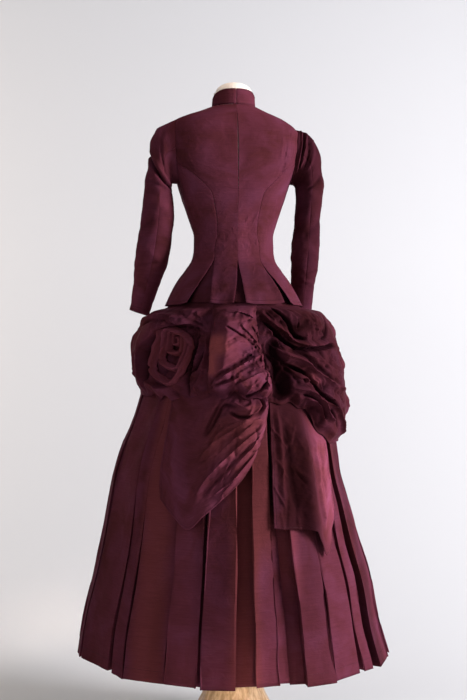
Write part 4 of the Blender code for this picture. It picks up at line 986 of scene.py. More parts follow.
overskirt = {
    "shelf": [1185, 1067, 1054, 1034, 985, 930, 880],      # heights at which the ribs tell that
    "shelfTop": 1067.0,
    "panniers": {
        "left": [(-112, 905, (3, 6, 7, 8, 9, 8, 7, 6)), (-102, 885, (3, 6, 20, 34, 38, 26, 14, 8)),
                 (-92, 862, (3, 6, 32, 50, 54, 38, 20, 9)), (-82, 850, (3, 6, 40, 54, 56, 40, 20, 9)),
                 (-72, 850, (3, 6, 46, 60, 52, 34, 22, 14)), (-60, 850, (3, 6, 40, 52, 26, 16, 16, 14)),
                 (-46, 848, (3, 6, 32, 40, 14, 12, 14, 16)), (-34, 846, (3, 6, 24, 26, 12, 12, 14, 15)),
                 (-24.2, 848, (3, 6, 12, 12, 10, 11, 12, 12)), (-19, 852, (3, 5, 7, 7, 6, 7, 7, 6))],
        "centre": [(-23.8, 850, (3, 6, 14, 16, 14, 14, 13, 12)), (-19, 853, (3, 6, 30, 44, 50, 50, 42, 26)),
                   (-11, 858, (3, 6, 38, 60, 78, 80, 62, 34)), (-4, 852, (3, 6, 42, 54, 64, 68, 60, 36)),
                   (3, 844, (3, 6, 30, 38, 48, 52, 54, 38)), (10.8, 846, (3, 6, 12, 16, 20, 22, 24, 20))],
        "right": [(5, 846, (3, 5, 8, 9, 9, 9, 9, 8)), (11.2, 842, (3, 6, 12, 16, 14, 14, 14, 14)),
                  (20, 838, (3, 6, 28, 36, 22, 30, 34, 26)), (29, 828, (3, 6, 38, 52, 26, 40, 46, 24)),
                  (38, 790, (3, 6, 44, 60, 42, 46, 52, 26)), (48, 750, (3, 6, 46, 62, 62, 54, 54, 24)),
                  (60, 736, (3, 6, 50, 60, 62, 58, 54, 22)), (74, 738, (3, 6, 50, 56, 60, 56, 50, 20)),
                  (88, 742, (3, 6, 40, 54, 60, 56, 50, 20)), (101, 800, (3, 6, 22, 32, 36, 32, 24, 12)),
                  (112, 880, (3, 6, 7, 8, 9, 9, 8, 7))],
    },
    "cuts": {"left": (470, 330, 0.9), "centre": (270, 330, 0.85), "right": (640, 420, 0.85)},
    "step": 2.55,     # mm between points
    "least": 3.0,     # mm that the cloth keeps off the skirt
    # how much the cloth is crumpled, in mm at each turn: least where it hangs free at the sides
    "crumple": ((-112, -84, -72, -50, -22, 20, 44, 58, 112), (1.5, 1.5, 3, 4, 7, 7, 6, 2, 1.5)),
    "crumpleSize": 36,
    # how the centre drape's two upright edges sway: heights, and turns at them
    "sways": (([840, 868, 892, 925, 960, 1000, 1040, 1070], [-2, 0.6, 1, -2, -2.5, -3.5, -3, 0]),
              ([840, 900, 960, 1020, 1070], [-1.5, 1, 0, 1.8, 0])),
}
# each fold: rise, width to the left and right of its path, lean, roundness, path of turn and height
pannierFolds = {
    "left": [
        # the crescent that folds over from the top, and the hollow inside it
        (22, 9, 44, -9, 0.12, [(-28, 1020), (-40, 1028), (-52, 1020), (-62, 998), (-69, 970), (-71, 935),
                               (-71, 900), (-73, 862)]),
        (-26, 10, 10, 0, 0.1, [(-55, 998), (-63, 978), (-67, 940), (-67, 900), (-70, 866)]),
        (-9, 5, 6, 0, 0.1, [(-80, 1012), (-68, 1029), (-54, 1033), (-42, 1027), (-32, 1017)]),
        (7, 9, 7, -3, 0.1, [(-84, 1024), (-70, 1040), (-54, 1044), (-40, 1038), (-30, 1022)]),
        # gathers at the pinch
        (-7, 4, 4, 0, 0.1, [(-27, 1014), (-35, 1034), (-42, 1052)]),
        (7, 6, 5, 2, 0.1, [(-27, 1012), (-37, 1026), (-47, 1048)]),
        (-7, 4, 4, 0, 0.1, [(-28, 1010), (-40, 1015), (-52, 1013)]),
        (6, 5, 5, 0, 0.1, [(-25, 1016), (-29, 1036), (-33, 1054)]),
        # upright folds beside the rosette
        (-24, 5, 5, 0, 0.08, [(-30.5, 1000), (-31.5, 976), (-33.5, 948), (-34.5, 918), (-35, 880)]),
        (10, 6, 5, 3, 0.1, [(-28, 1000), (-29.5, 960), (-31, 925), (-33, 896)]),
        (-16, 4, 5, 0, 0.08, [(-26, 962), (-28, 940), (-30.5, 918), (-34.5, 900)]),
        (10, 9, 6, 0, 0.1, [(-25, 1000), (-25.5, 950), (-27, 905), (-31, 866)]),
        # the arc under it
        (-10, 6, 6, 0, 0.1, [(-62, 888), (-54, 876), (-48, 879), (-41, 903), (-37, 928)]),
        (14, 12, 14, -6, 0.12, [(-70, 892), (-62, 872), (-52, 862), (-43, 872), (-37, 892), (-34, 912)]),
        (-9, 5, 5, 0, 0.1, [(-34.5, 890), (-34, 872), (-33.5, 850)]),
        (6, 6, 5, 0, 0.1, [(-30, 886), (-29, 866), (-28.5, 852)]),
        (-7, 5, 5, 0, 0.1, [(-44, 866), (-41, 856), (-38, 846)]),
        # round the side
        (9, 14, 20, 0, 0.2, [(-92, 1010), (-96, 950), (-94, 890)]),
        (6, 10, 10, 0, 0.15, [(-84, 1044), (-98, 1020), (-104, 990)]),
        (-8, 7, 9, 0, 0.1, [(-86, 1000), (-90, 950), (-88, 895)]),
        (7, 7, 9, 3, 0.1, [(-80, 960), (-86, 920), (-96, 892)]),
    ],
    "centre": [
        # the brown facet and the pink one beside it
        (19, 60, 46, 0, 0.03, [(-11, 1050), (-10, 1010), (-10.5, 965), (-12.5, 925), (-16, 895),
                               (-20, 868)]),
        (11, 18, 5, 5, 0.06, [(-13, 1050), (-5, 1054), (1, 1048), (6.5, 1034)]),
        (-14, 4, 5, 0, 0.06, [(-11, 1015), (-7, 1004), (-3, 990)]),
        (-8, 5, 5, 0, 0.06, [(-4, 996), (0, 979), (5, 961)]),
        (11, 8, 6, 4, 0.06, [(-4, 1026), (0, 1006), (4, 984), (8.5, 958)]),
        (-9, 4, 5, 0, 0.06, [(2, 1016), (6, 996), (8.5, 975)]),
        # the valley under them and the crumpled folds that run down into it
        (-17, 8, 6, 0, 0.06, [(9, 960), (4, 956), (-5, 933), (-11, 915), (-16, 896), (-21, 874)]),
        (11, 8, 6, 4, 0.05, [(10, 950), (3, 940), (-3, 926), (-9, 906), (-15, 884)]),
        (-8, 4, 4, 0, 0.05, [(7, 942), (1, 928), (-5, 912), (-10, 896)]),
        (9, 5, 6, -3, 0.05, [(7, 932), (1, 918), (-6, 900), (-13, 880)]),
        (-13, 5, 5, 0, 0.05, [(8, 922), (0, 914), (-8, 897), (-15, 882), (-22, 868)]),
        (13, 12, 6, 6, 0.08, [(11, 906), (5, 903), (0, 893), (-5, 880), (-11, 868)]),
        (-14, 5, 6, 0, 0.08, [(10.5, 889), (7, 880), (2.5, 862), (-3, 853)]),
        (8, 7, 5, 3, 0.08, [(2, 880), (-4, 872), (-9, 858), (-12, 846)]),
        (-8, 4, 4, 0, 0.08, [(-2, 878), (-7, 862), (-11, 848)]),
        (10, 7, 10, 5, 0.1, [(9, 1030), (10, 960), (9.5, 900), (8, 852)]),
        (-8, 6, 7, 0, 0.12, [(-22, 1012), (-22.5, 930), (-22, 862)]),
    ],
    "right": [
        # a pouch, the roll along its foot and the two deep grooves beside that
        (9, 34, 40, 0, 0.3, [(44, 1064), (46, 1030), (47, 1004)]),
        (-22, 5, 8, 0, 0.05, [(20, 1064), (21.6, 1051), (24.1, 1035), (28.4, 1009), (32, 993), (38, 984)]),
        (12, 9, 7, 4, 0.06, [(10, 1052), (12.5, 1046), (18.2, 1021), (25.5, 1000), (32, 981), (39, 973),
                             (47, 978), (53, 994)]),
        (-24, 7, 7, 0, 0.05, [(11, 1030), (16, 1011), (21.8, 989), (27.3, 972), (33, 961), (42, 964),
                              (52, 969), (62, 972)]),
        (-9, 5, 9, 0, 0.06, [(64, 1050), (58, 1018), (52, 996), (45, 982)]),
        (-6, 4, 4, 0, 0.06, [(44, 1056), (43, 1030), (42, 1002)]),
        # the bright edge that runs down to the right, and its dark slope above
        (-9, 14, 5, 0, 0.1, [(27, 958), (33, 950), (36.5, 932), (41, 914), (47, 896), (55, 880)]),
        (22, 5, 20, 6, 0.04, [(15, 975), (21, 955), (27.5, 946), (32.2, 932), (38.6, 904), (49.5, 877),
                              (60, 865)]),
        (-24, 6, 7, 0, 0.05, [(19, 930), (25.9, 916), (30.9, 903), (33.5, 885), (36, 867), (41, 850),
                              (48, 834), (58, 804), (65, 775)]),
        (11, 8, 6, 3, 0.06, [(24, 898), (29, 898), (31.5, 885)]),
        # the folds at its foot
        (15, 6, 9, 5, 0.05, [(21, 872), (28, 872), (33, 862), (36.5, 848), (40.5, 829), (44, 807),
                             (50, 788)]),
        (-9, 4, 4, 0, 0.05, [(27, 858), (33, 849), (37, 833), (41, 810)]),
        (9, 5, 6, 3, 0.05, [(28, 852), (35, 838), (39.5, 812), (43, 788)]),
        (-10, 4, 5, 0, 0.05, [(45, 822), (50, 800), (54, 772)]),
        (13, 7, 8, 5, 0.06, [(43, 840), (50, 822), (57, 795), (62, 765), (64, 750)]),
        (-20, 24, 18, 0, 0.5, [(15.5, 985), (16, 930), (16.5, 870), (17, 838)]),
        # round the side
        (8, 14, 12, 0, 0.3, [(70, 1036), (82, 1008), (96, 990)]),
        (-7, 9, 9, 0, 0.3, [(76, 1046), (88, 1026), (100, 1008)]),
        (8, 14, 12, 3, 0.3, [(76, 940), (88, 912), (100, 890)]),
        (-7, 9, 9, 0, 0.3, [(72, 900), (84, 868), (96, 840)]),
        (7, 12, 10, 3, 0.3, [(72, 848), (84, 812), (92, 780)]),
    ],
}
# finer ones, scattered: seed, count, turns, heights, way, lengths, rise and width
for hand, row in (("left", (311, 56, (-62, -26), (852, 1060), 60, (18, 54), 4.0, 4.6)),
                  ("left", (312, 26, (-60, -24), (1000, 1062), -25, (20, 60), 5.0, 5.0)),
                  ("centre", (313, 56, (-9, 10), (862, 1060), 30, (16, 48), 4.6, 4.4)),
                  ("centre", (314, 40, (-12, 10), (868, 960), 52, (16, 56), 5.4, 4.4)),
                  ("right", (315, 72, (12, 62), (780, 966), -50, (20, 60), 4.4, 4.6)),
                  ("right", (316, 30, (12, 50), (960, 1060), -60, (20, 60), 3.6, 4.6)),
                  ("right", (317, 30, (62, 108), (770, 1050), -35, (30, 90), 2.2, 5.0)),
                  ("left", (318, 22, (-108, -76), (880, 1050), 40, (26, 70), 2.0, 5.0))):
    pannierFolds[hand] += scatter(*row)


def ribSurface(ribs):
    # turns and feet at position k between the ribs, and how far the cloth stands off there
    turns = curveThrough(range(len(ribs)), [rib[0] for rib in ribs])
    feet = curveThrough(range(len(ribs)), [rib[1] for rib in ribs])
    falls = []
    for _, foot, outs in ribs:
        levels = [z for z in overskirt["shelf"] if z > foot + 12] + [foot]
        stands = list(outs[:len(levels) - 1]) + [outs[-1]]
        falls.append(curveThrough(levels[::-1], stands[::-1]))

    def out(k, height):
        values = np.stack([fall(height) for fall in falls])
        return curveAcross(values, k)

    return turns, feet, out


def drape(turn, height, stand, folds, crumples, seed, shown, wild, least):
    # Cloth that stands off the skirt, with folds and crumples that "shown" and "wild" ease in.
    # The answer is its points, the folds' rise and the crumples'.
    size, tall = crumples
    rise, shiftX, shiftY = foldField(turn * degreeLength, height, folds)
    ruffle = tall * crumple(standOff(turn, height, stand), size, seed)
    stand = np.maximum(stand + rise * shown + ruffle * wild, least)
    turn = turn + shiftX * shown / degreeLength
    return standOff(turn, height + shiftY * shown, stand), rise, ruffle


def pannierPoints(hand, k, v):
    # v is 0 at the foot, 1 at the shelf that stands out under the peplum and 2 at the waist
    turns, feet, out = ribSurface(overskirt["panniers"][hand])
    top = overskirt["shelfTop"]
    turn, foot = turns(k), feet(k)
    behind = smoothStep((70 - np.abs(turn)) / 14)      # the foot is ragged at the back alone
    foot = foot + behind * (7 * np.sin(turn / 3.1) * np.sin(turn / 7.7) + 4 * np.sin(turn / 1.7))
    height = np.where(v < 1, blend(foot, top, v), blend(top, waist - 0.3, v - 1))
    stand = out(k, height) * (1 - 0.6 * smoothStep(1.1 - (height - foot) / 22))
    if hand == "centre":
        right, left = [curveThrough(*sway)(height) for sway in overskirt["sways"]]
        turn = turn + (right * smoothStep((turn - 2) / 9) + left * smoothStep((-15 - turn) / 9))
    # the cloth is left smooth where the bodice lies over it
    shown = smoothStep((peplumHem - 3 - height) / 14)
    wild = smoothStep((peplumHem - 4 - height) / 16) * smoothStep((height - foot) / 12 + 0.4)
    crumples = overskirt["crumpleSize"], curveThrough(*overskirt["crumple"])(turn)
    grid, rise, ruffle = drape(turn, height, stand, pannierFolds[hand], crumples, 51, shown, wild,
                               overskirt["least"])
    # the second answer is the relief that sets the painted shade and highlight
    return grid, (rise + ruffle * wild) * shown


def makePanniers():
    for n, (hand, ribs) in enumerate(overskirt["panniers"].items()):
        span = (ribs[-1][0] - ribs[0][0]) * degreeLength
        drop = max(overskirt["shelfTop"] - rib[1] for rib in ribs) * 1.15
        k = np.linspace(0, len(ribs) - 1, int(span / overskirt["step"]))[None]
        v = np.concatenate([np.linspace(2, 1, 14)[:-1], np.linspace(1, 0, int(drop / overskirt["step"]))])
        grid, relief = pannierPoints(hand, *np.broadcast_arrays(k, v[:, None]))
        node = "centre_drape" if hand == "centre" else "pannier_" + hand
        name = "centreDrape" if hand == "centre" else "pannier" + hand.capitalize()
        makeCloth(name, grid, node, n,
                  relief=relief)


makePanniers()


# tails: rows of turn and height at the top, turn and height at the foot, and stands on the way

tails = {
    "levels": [0, 0.1, 0.2, 0.4, 0.65, 0.85, 1],      # shares of the way down, for the stands
    "left": [(-47, 884, -41, 617, (2.4, 4, 5, 6, 6, 5, 4)), (-38, 884, -34, 583, (2.4, 5, 7, 9, 10, 9, 6)),
             (-28, 882, -26.5, 552, (2.4, 5, 8, 11, 12, 10, 6)),
             (-18, 880, -20, 582, (2.4, 6, 10, 16, 16, 13, 8)),
             (-9, 872, -12, 622, (2.4, 7, 28, 30, 24, 18, 10)),
             (0, 868, -5, 660, (2.4, 8, 40, 46, 34, 24, 12)),
             (6, 866, 1, 706, (2.4, 8, 38, 44, 36, 24, 10)),
             (10, 866, 6, 752, (2.4, 8, 20, 26, 24, 16, 6))],
    "right": [(11.5, 860, 9.5, 556, (2.4, 5, 6, 6, 6, 6, 5)), (17, 858, 15, 552, (2.4, 6, 8, 9, 8, 8, 6)),
              (23, 850, 21.5, 550, (2.4, 7, 10, 12, 12, 10, 8)),
              (28.5, 840, 27.5, 545, (2.4, 8, 16, 28, 33, 30, 26)),
              (35, 810, 33, 487, (2.4, 8, 12, 16, 16, 14, 12)),
              (42, 780, 39, 535, (2.4, 7, 9, 12, 12, 12, 10)),
              (50, 770, 45.5, 590, (2.4, 6, 7, 8, 8, 8, 7))],
    "least": 2.4,
    "crumple": (40, 3.0),      # mm across and mm high
    "cuts": {"left": (384, 342, 0.65), "right": (302, 334, 0.6)},
}
tailFolds = {
    "left": [
        # the roll at the top of its right edge
        (12, 5, 16, 4, 0.08, [(9, 870), (9.5, 842), (8, 806), (5, 770), (-1, 730)]),
        (-15, 6, 6, 0, 0.06, [(5, 866), (6, 838), (2.5, 814), (-4, 806), (-11, 822)]),
        (11, 7, 5, 4, 0.06, [(-1, 866), (1, 842), (-3, 828), (-9, 840)]),
        (-9, 4, 4, 0, 0.06, [(-8, 868), (-5, 850), (-6, 838)]),
        (-14, 5, 6, 0, 0.08, [(-6, 832), (-13, 834), (-17, 800), (-22, 760)]),
        (9, 8, 6, 4, 0.08, [(6, 800), (-3, 796), (-11, 782), (-19, 745)]),
        (8, 8, 6, 4, 0.1, [(7, 835), (-4, 790), (-18, 740), (-24, 700)]),
        (4, 7, 6, 4, 0.1, [(6, 812), (-5, 766), (-17, 706)]),
        (8, 8, 6, 4, 0.1, [(5, 788), (-6, 735), (-19, 660), (-24, 610)]),
        (-5, 5, 5, 0, 0.1, [(6, 775), (-6, 715), (-18, 640)]),
        (4, 7, 6, 3, 0.1, [(4, 752), (-5, 706), (-12, 652)]),
        (6, 6, 5, 3, 0.1, [(3, 730), (-5, 680), (-14, 615)]),
        (-9, 8, 6, 0, 0.1, [(-12, 868), (-18, 820), (-23, 760)]),
        (5, 14, 14, 0, 0.3, [(-38, 850), (-36, 760), (-33, 640)]),
    ],
    "right": [
        (-4, 12, 12, 0, 0.2, [(19, 800), (20, 700), (21, 590)]),
        (6, 10, 10, 0, 0.2, [(15, 840), (15.5, 740), (15, 600)]),
        (5, 8, 8, 0, 0.15, [(38, 770), (36, 660), (34, 540)]),
        (-4, 6, 6, 0, 0.15, [(43, 760), (41, 680), (39, 600)]),
    ],
}
for hand, row in (("left", (321, 64, (-20, 8), (640, 862), 46, (24, 80), 4.4, 4.6)),
                  ("left", (322, 24, (-40, -16), (600, 860), 78, (20, 70), 1.5, 4.0)),
                  ("right", (323, 36, (12, 45), (540, 840), 84, (24, 80), 2.4, 4.6))):
    tailFolds[hand] += scatter(*row)


def makeTails():
    for hand in ("left", "right"):
        ribs = tails[hand]
        count = range(len(ribs))
        topTurn, top, footTurn, foot = [curveThrough(count, [rib[c] for rib in ribs]) for c in range(4)]
        falls = [curveThrough(tails["levels"], rib[4]) for rib in ribs]
        span = (ribs[-1][0] - ribs[0][0]) * degreeLength
        k = np.linspace(0, len(ribs) - 1, int(span / overskirt["step"]))[None]
        k, down = np.broadcast_arrays(k, np.linspace(0, 1, 120)[:, None])
        turn = blend(topTurn(k), footTurn(k), down)
        height = blend(top(k), foot(k), down)
        stand = curveAcross(np.stack([fall(down) for fall in falls]), k)
        free = smoothStep(down / 0.25)      # its top is held flat under the pannier
        grid, rise, _ = drape(turn, height, stand, tailFolds[hand], tails["crumple"], 61, free, free,
                              tails["least"])
        normals = gridNormals(grid)
        for line in ((-3, slice(3, -3)), (slice(20, -3), 3), (slice(20, -3), -4)):
            sew(grid[line], normals[line])
        # its folds' rise sets the painted shade and highlight
        makeCloth("tail" + hand.capitalize(), grid, "tail_" + hand,
                  1, relief=rise * free)


makeTails()


# the overskirt's front

apron = {
    "turns": (112.3, 247.7),
    "sideFoot": 880.0,
    "dip": 170.0,        # mm lower in the middle
    "pitch": 98.0,       # mm from swag to swag
    "rise": 17.0,
    "sag": 80.0,
    "crumple": (46, 3.0),
    "drags": ((1010, 960, 4), (962, 905, -4), (920, 850, 5), (880, 790, -4), (872, 745, 4)),
    "cut": (744, 520, 0.55),
}
# Drag lines run down from both sides to each swag: heights where they start and end, and rise.
apronFolds = []
for side in (-1, 1):
    for start, end, rise in apron["drags"]:
        path = [(180 + side * 60, start), (180 + side * 42, blend(start, end, 0.55)), (180 + side * 20, end)]
        apronFolds.append((rise, 9, 12, 0, 0.2, path))
apronFolds += scatter(331, 70, (124, 236), (730, 1050), 0, (30, 90), 2.2, 5.0)


def makeApron():
    first, last = apron["turns"]
    u, v = np.broadcast_arrays(np.linspace(0, 1, 130)[None], np.linspace(1, 0, 120)[:, None])
    turn = blend(first, last, u)
    middle = 1 - ((turn - 180) / 68) ** 2
    foot = apron["sideFoot"] - apron["dip"] * smoothStep(middle)
    height = blend(foot, waist - 0.3, v)
    phase = (height + apron["sag"] * middle) / apron["pitch"]
    swag = 0.5 + 0.5 * np.cos(2 * np.pi * phase)
    ease = smoothStep((peplumHem - 6 - height) / 40) * smoothStep(6 * middle)
    stand = 3 + 3 * smoothStep((waist - height) / 60) + apron["rise"] * swag ** 1.3 * ease
    grid, _, _ = drape(turn, height, stand, apronFolds, apron["crumple"], 71, ease, ease,
                       overskirt["least"])
    makeCloth("apronFront", grid, "apron_front")


makeApron()


# rosette: a strip of cloth wound into a spiral and caught down on the left pannier

rosette = {
    # centre of the winding as it goes outward: share, turn, height, radius
    "path": [(0, -41, 984, 4), (0.2, -41.5, 983, 14), (0.42, -42.5, 976, 29), (0.66, -45, 960, 48),
             (0.85, -47, 946, 65), (1, -48, 940, 78)],
    "winds": 4.1,
    "start": 2.2,        # angle at the middle
    "crown": 17.0,       # mm that the middle stands out
    "strip": 16.0,       # mm that shows across a wind
    "lift": 5.0,
    "crumple": (30, 4.0),
    "dent": 4.5,         # mm, where the strip is folded over at a corner
    # across the strip, from its root up the steep inner side, over the edge and down outside
    "section": ([0, 0.36, 0.4, 0.44, 1], [-12, 6, 8, 7, -11]),
    "cut": (1120, 53, 0.62),
}


def makeRosette():
    ribs = overskirt["panniers"]["left"]
    _, _, out = ribSurface(ribs)
    ribAt = curveThrough([rib[0] for rib in ribs], range(len(ribs)))
    marks = np.array(rosette["path"])
    turnOf, heightOf, radiusOf = [curveThrough(marks[:, 0], marks[:, c]) for c in (1, 2, 3)]
    s, w = np.broadcast_arrays(np.linspace(0, 1, 620)[None], np.linspace(0, 1, 18)[:, None])
    angle = -2 * np.pi * rosette["winds"] * s + rosette["start"]
    # the strip is folded over at four corners in each wind, more sharply near the middle
    turned, sharp = angle + 0.5 * s, 6 - 2.5 * s
    squarish = 0.88 * (np.abs(np.cos(turned)) ** sharp + np.abs(np.sin(turned)) ** sharp) ** (-1 / sharp)
    corner = np.exp(-(np.cos(2 * turned + 0.5 * (w - 0.4)) / 0.10) ** 2)
    pinch = 0.07 * np.sin(angle * 1.37 + 1.1) * s
    over = curveThrough(*rosette["section"])(w)
    r = radiusOf(s) * (squarish + pinch) + rosette["strip"] * (w - 0.42) * (0.6 + 0.5 * s)
    lift = rosette["lift"] + rosette["crown"] * np.sqrt(np.clip(1 - (0.9 * s) ** 2, 0, 1)) + over
    x, y = r * np.cos(angle), r * np.sin(angle)
    turn, height = turnOf(s) + x / degreeLength, heightOf(s) + y
    stand = out(ribAt(turn), height)
    base = standOff(turn, height, stand + lift)
    size, tall = rosette["crumple"]
    lift = lift + tall * crumple(base, size, 81) - rosette["dent"] * corner * smoothStep(s / 0.15)
    grid = standOff(turn, height, stand + np.maximum(lift, 2.0))
    makeCloth("rosetteLeft", grid, "rosette_left")


makeRosette()
print("overskirt made")


# covered buttons down the front

buttons = {
    "count": 11,
    "radius": 6.0,
    "thick": 3.4,
    "top": 1540.0,
    "foot": 1092.0,
    "sides": 20,
    "rings": 6,
    # each buttonhole: turns of its ends, half its width in mm and mm from stitch to stitch
    "hole": (180 - 5.5, 180 + 2.2, 0.9, 1.3),
}


def buttonHeights():
    return [blend(buttons["top"], buttons["foot"], k / (buttons["count"] - 1))
            for k in range(buttons["count"])]


def makeButtons():
    points, faces = [], []
    sides, rings = buttons["sides"], buttons["rings"]
    for height in buttonHeights():
        seat, out = bodiceFace(180.0, height), outward(bodiceFace, 180.0, height)
        right = np.array([1.0, 0, 0])
        up = np.cross(out, right)
        first = len(points)
        for ring in range(rings):
            # a low dome, on a rim that lies on the cloth
            share = ring / (rings - 1) * math.pi / 2
            r = buttons["radius"] * math.cos(share) if ring else buttons["radius"] * 0.96
            lift = buttons["thick"] * (0.25 + 0.75 * math.sin(share)) if ring else 0.3
            for side in range(sides):
                a = 2 * math.pi * side / sides
                points.append(seat + out * lift + (right * math.cos(a) + up * math.sin(a)) * max(r, 0.05))
        for k in range((rings - 1) * sides):
            a, b = first + k, first + k - k % sides + (k + 1) % sides
            faces.append((a, b, b + sides, a + sides))
    mesh = bpy.data.meshes.new("coveredButtons")
    mesh.from_pydata([tuple(p * mm) for p in points], [], faces)
    mesh.uv_layers.new(name="grain")
    mesh.shade_smooth()
    mesh.materials.append(silk[0])
    piece = addObject("coveredButtons", mesh)
    rideAsSilk(piece)
    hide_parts(*["button_%02d" % (k + 1) for k in range(buttons["count"])])


def makeButtonholes():
    first, last, half, pitch = buttons["hole"]
    turn = np.linspace(first, last, 12)
    for height in buttonHeights():
        for rise in (-half, half):
            level = np.full(12, height + rise)
            way = outward(bodiceFace, turn, level)
            sew(bodiceFace(turn, level) + way, way, pitch)


makeButtons()
makeButtonholes()
makeStitches()
print("sewing made")


# dress form and stand

def ivoryJersey():
    # cotton jersey drawn smooth over the form: matte, with a fine knit that softens its edges
    material, tree, shader = newMaterial("ivoryJersey", {
        "Base Color": hexToLinear("#f7ebdd"), "Roughness": 0.85, "IOR": 1.5, "Sheen Weight": 0.15})
    place = addNode(tree, "ShaderNodeTexCoord")
    knit = addNode(tree, "ShaderNodeTexWave", {"Scale": 160.0, "Distortion": 1.5, "Detail": 2.0},
                   Vector=place.outputs["Object"])
    bump = addNode(tree, "ShaderNodeBump", {"Strength": 0.15, "Distance": 0.0004},
                   Height=knit.outputs["Fac"])
    tree.links.new(bump.outputs["Normal"], shader.inputs["Normal"])
    return material


def waxedBeech():
    # turned beech, waxed: pale warm wood with fine flecks and a low sheen
    material, tree, shader = newMaterial("waxedBeech", {"Roughness": 0.42, "IOR": 1.5})
    place = addNode(tree, "ShaderNodeTexCoord")
    long = addNode(tree, "ShaderNodeMapping", {"Scale": (1, 1, 0.12)}, Vector=place.outputs["Object"])
    grain = addNode(tree, "ShaderNodeTexNoise", {"Scale": 130.0, "Detail": 5.0, "Distortion": 0.4},
                    Vector=long.outputs["Vector"])
    tone = addNode(tree, "ShaderNodeValToRGB", Fac=grain.outputs["Fac"])
    for stop, share, colour in zip(tone.color_ramp.elements, (0.35, 0.65), ("#c79a6c", "#ecc99c")):
        stop.position, stop.color = share, hexToLinear(colour)
    tree.links.new(tone.outputs["Color"], shader.inputs["Base Color"])
    bump = addNode(tree, "ShaderNodeBump", {"Strength": 0.2, "Distance": 0.0004},
                   Height=grain.outputs["Fac"])
    tree.links.new(bump.outputs["Normal"], shader.inputs["Normal"])
    return material


def paintedSteel():
    # steel tube, sprayed black: smooth with a slight orange peel
    material, tree, shader = newMaterial("paintedSteel", {
        "Base Color": hexToLinear("#1c1b1b"), "Roughness": 0.38, "IOR": 1.5})
    place = addNode(tree, "ShaderNodeTexCoord")
    peel = addNode(tree, "ShaderNodeTexNoise", {"Scale": 400.0}, Vector=place.outputs["Object"])
    bump = addNode(tree, "ShaderNodeBump", {"Strength": 0.05, "Distance": 0.0002},
                   Height=peel.outputs["Fac"])
    tree.links.new(bump.outputs["Normal"], shader.inputs["Normal"])
    return material


def dressTheStand():
    finishes = {"form_torso": ivoryJersey(), "stand_foot": waxedBeech(), "stand_pole": paintedSteel()}
    finishes["form_neck_cap"] = finishes["form_torso"]
    for node, material in finishes.items():
        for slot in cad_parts[node].material_slots:
            slot.material = material


dressTheStand()
print("form and stand dressed")


# studio

studio = {
    "backdrop": "#d9d8d6",
    "wallBehind": 1.7,       # m from the dress to the wall
    "wallTop": 5.0,
    "floorFront": -7.0,
    "halfWidth": 6.0,
    "sweep": 1.3,            # m, the curve between floor and wall
    # W, place, what it points at, size, colour and spread in degrees
    "window": (182.0, (2.8, -1.35, 1.55), (0, 0, 0.9), (0.9, 1.7), "#f6f6ff", 180),
    "fill": (11.0, (-2.4, -3.2, 1.6), (0, 0, 0.9), (2.0, 2.0), "#f6f4ff", 180),
    "wash": (16.0, (-1.9, 0.75, 1.5), (-1.6, 1.7, 1.2), (0.5, 1.6), "#fff0df", 180),
    "top": (0.2, (0.3, -0.7, 3.0), (0, 0, 1.64), (0.3, 0.3), "#ffe9d8", 14),
    "low": (0.2, (0.2, -2.4, 0.3), (0, 0, 0.08), (0.3, 0.3), "#fff0e2", 10),
    "room": 0.25,            # strength of the light all round
    "cameraAway": 3.6,
    "cameraHeight": 0.96,
    "cameraTurn": -7.0,
    "lens": 74.06,
}


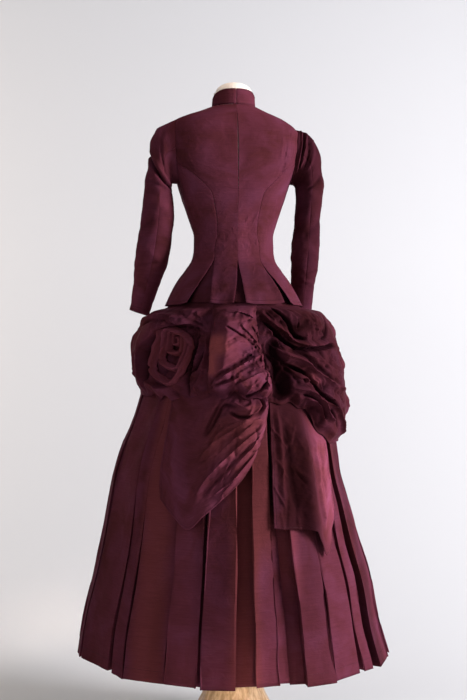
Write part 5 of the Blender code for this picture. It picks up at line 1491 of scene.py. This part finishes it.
def makeStudio():
    # a sheet of pale paper that curves up behind, five soft lamps, the room's light and the camera
    profile = [(studio["floorFront"], 0.0)]
    wall, sweep, half = studio["wallBehind"], studio["sweep"], studio["halfWidth"]
    for k in range(25):
        a = math.pi / 2 * k / 24
        profile.append((wall - sweep + sweep * math.sin(a), sweep - sweep * math.cos(a)))
    profile.append((wall, studio["wallTop"]))
    points = [(x, y, z) for y, z in profile for x in (-half, half)]
    faces = [(2 * k, 2 * k + 1, 2 * k + 3, 2 * k + 2) for k in range(len(profile) - 1)]
    mesh = bpy.data.meshes.new("paperSweep")
    mesh.from_pydata(points, [], faces)
    mesh.shade_smooth()
    material, tree, shader = newMaterial("paleBackdrop", {
        "Base Color": hexToLinear(studio["backdrop"]), "Roughness": 0.9})
    # the paper is seen through from behind, so that it never hides the dress
    facing = addNode(tree, "ShaderNodeNewGeometry")
    clear = addNode(tree, "ShaderNodeBsdfTransparent")
    paper = addNode(tree, "ShaderNodeMixShader", n0=facing.outputs["Backfacing"],
                    n1=shader.outputs["BSDF"], n2=clear.outputs["BSDF"])
    tree.links.new(paper.outputs["Shader"], tree.nodes["Material Output"].inputs["Surface"])
    mesh.materials.append(material)
    addObject("paperSweep", mesh)

    world = bpy.data.worlds.new("room")
    world.use_nodes = True
    light = world.node_tree.nodes["Background"]
    light.inputs["Color"].default_value = hexToLinear("#f0f1f6")
    light.inputs["Strength"].default_value = studio["room"]
    bpy.context.scene.world = world

    for name in ("window", "fill", "wash", "top", "low"):
        power, place, target, size, colour, spread = studio[name]
        lamp = bpy.data.lights.new(name, "AREA")
        lamp.energy = power
        lamp.shape = "RECTANGLE"
        lamp.size, lamp.size_y = size
        lamp.color = hexToLinear(colour)[:3]
        lamp.spread = math.radians(spread)
        holder = addObject(name, lamp)
        holder.location = place
        aim = Vector(target) - Vector(place)
        holder.rotation_euler = aim.to_track_quat("-Z", "Y").to_euler()

    turn, away = math.radians(studio["cameraTurn"]), studio["cameraAway"]
    camera = bpy.data.cameras.new("camera")
    camera.sensor_fit = "VERTICAL"
    camera.sensor_height = 36
    camera.lens = studio["lens"]
    holder = addObject("camera", camera)
    holder.location = (away * math.sin(turn), -away * math.cos(turn), studio["cameraHeight"])
    holder.rotation_euler = (math.pi / 2, 0, turn)
    bpy.context.scene.camera = holder
    bpy.context.scene.view_settings.view_transform = "Standard"


makeStudio()
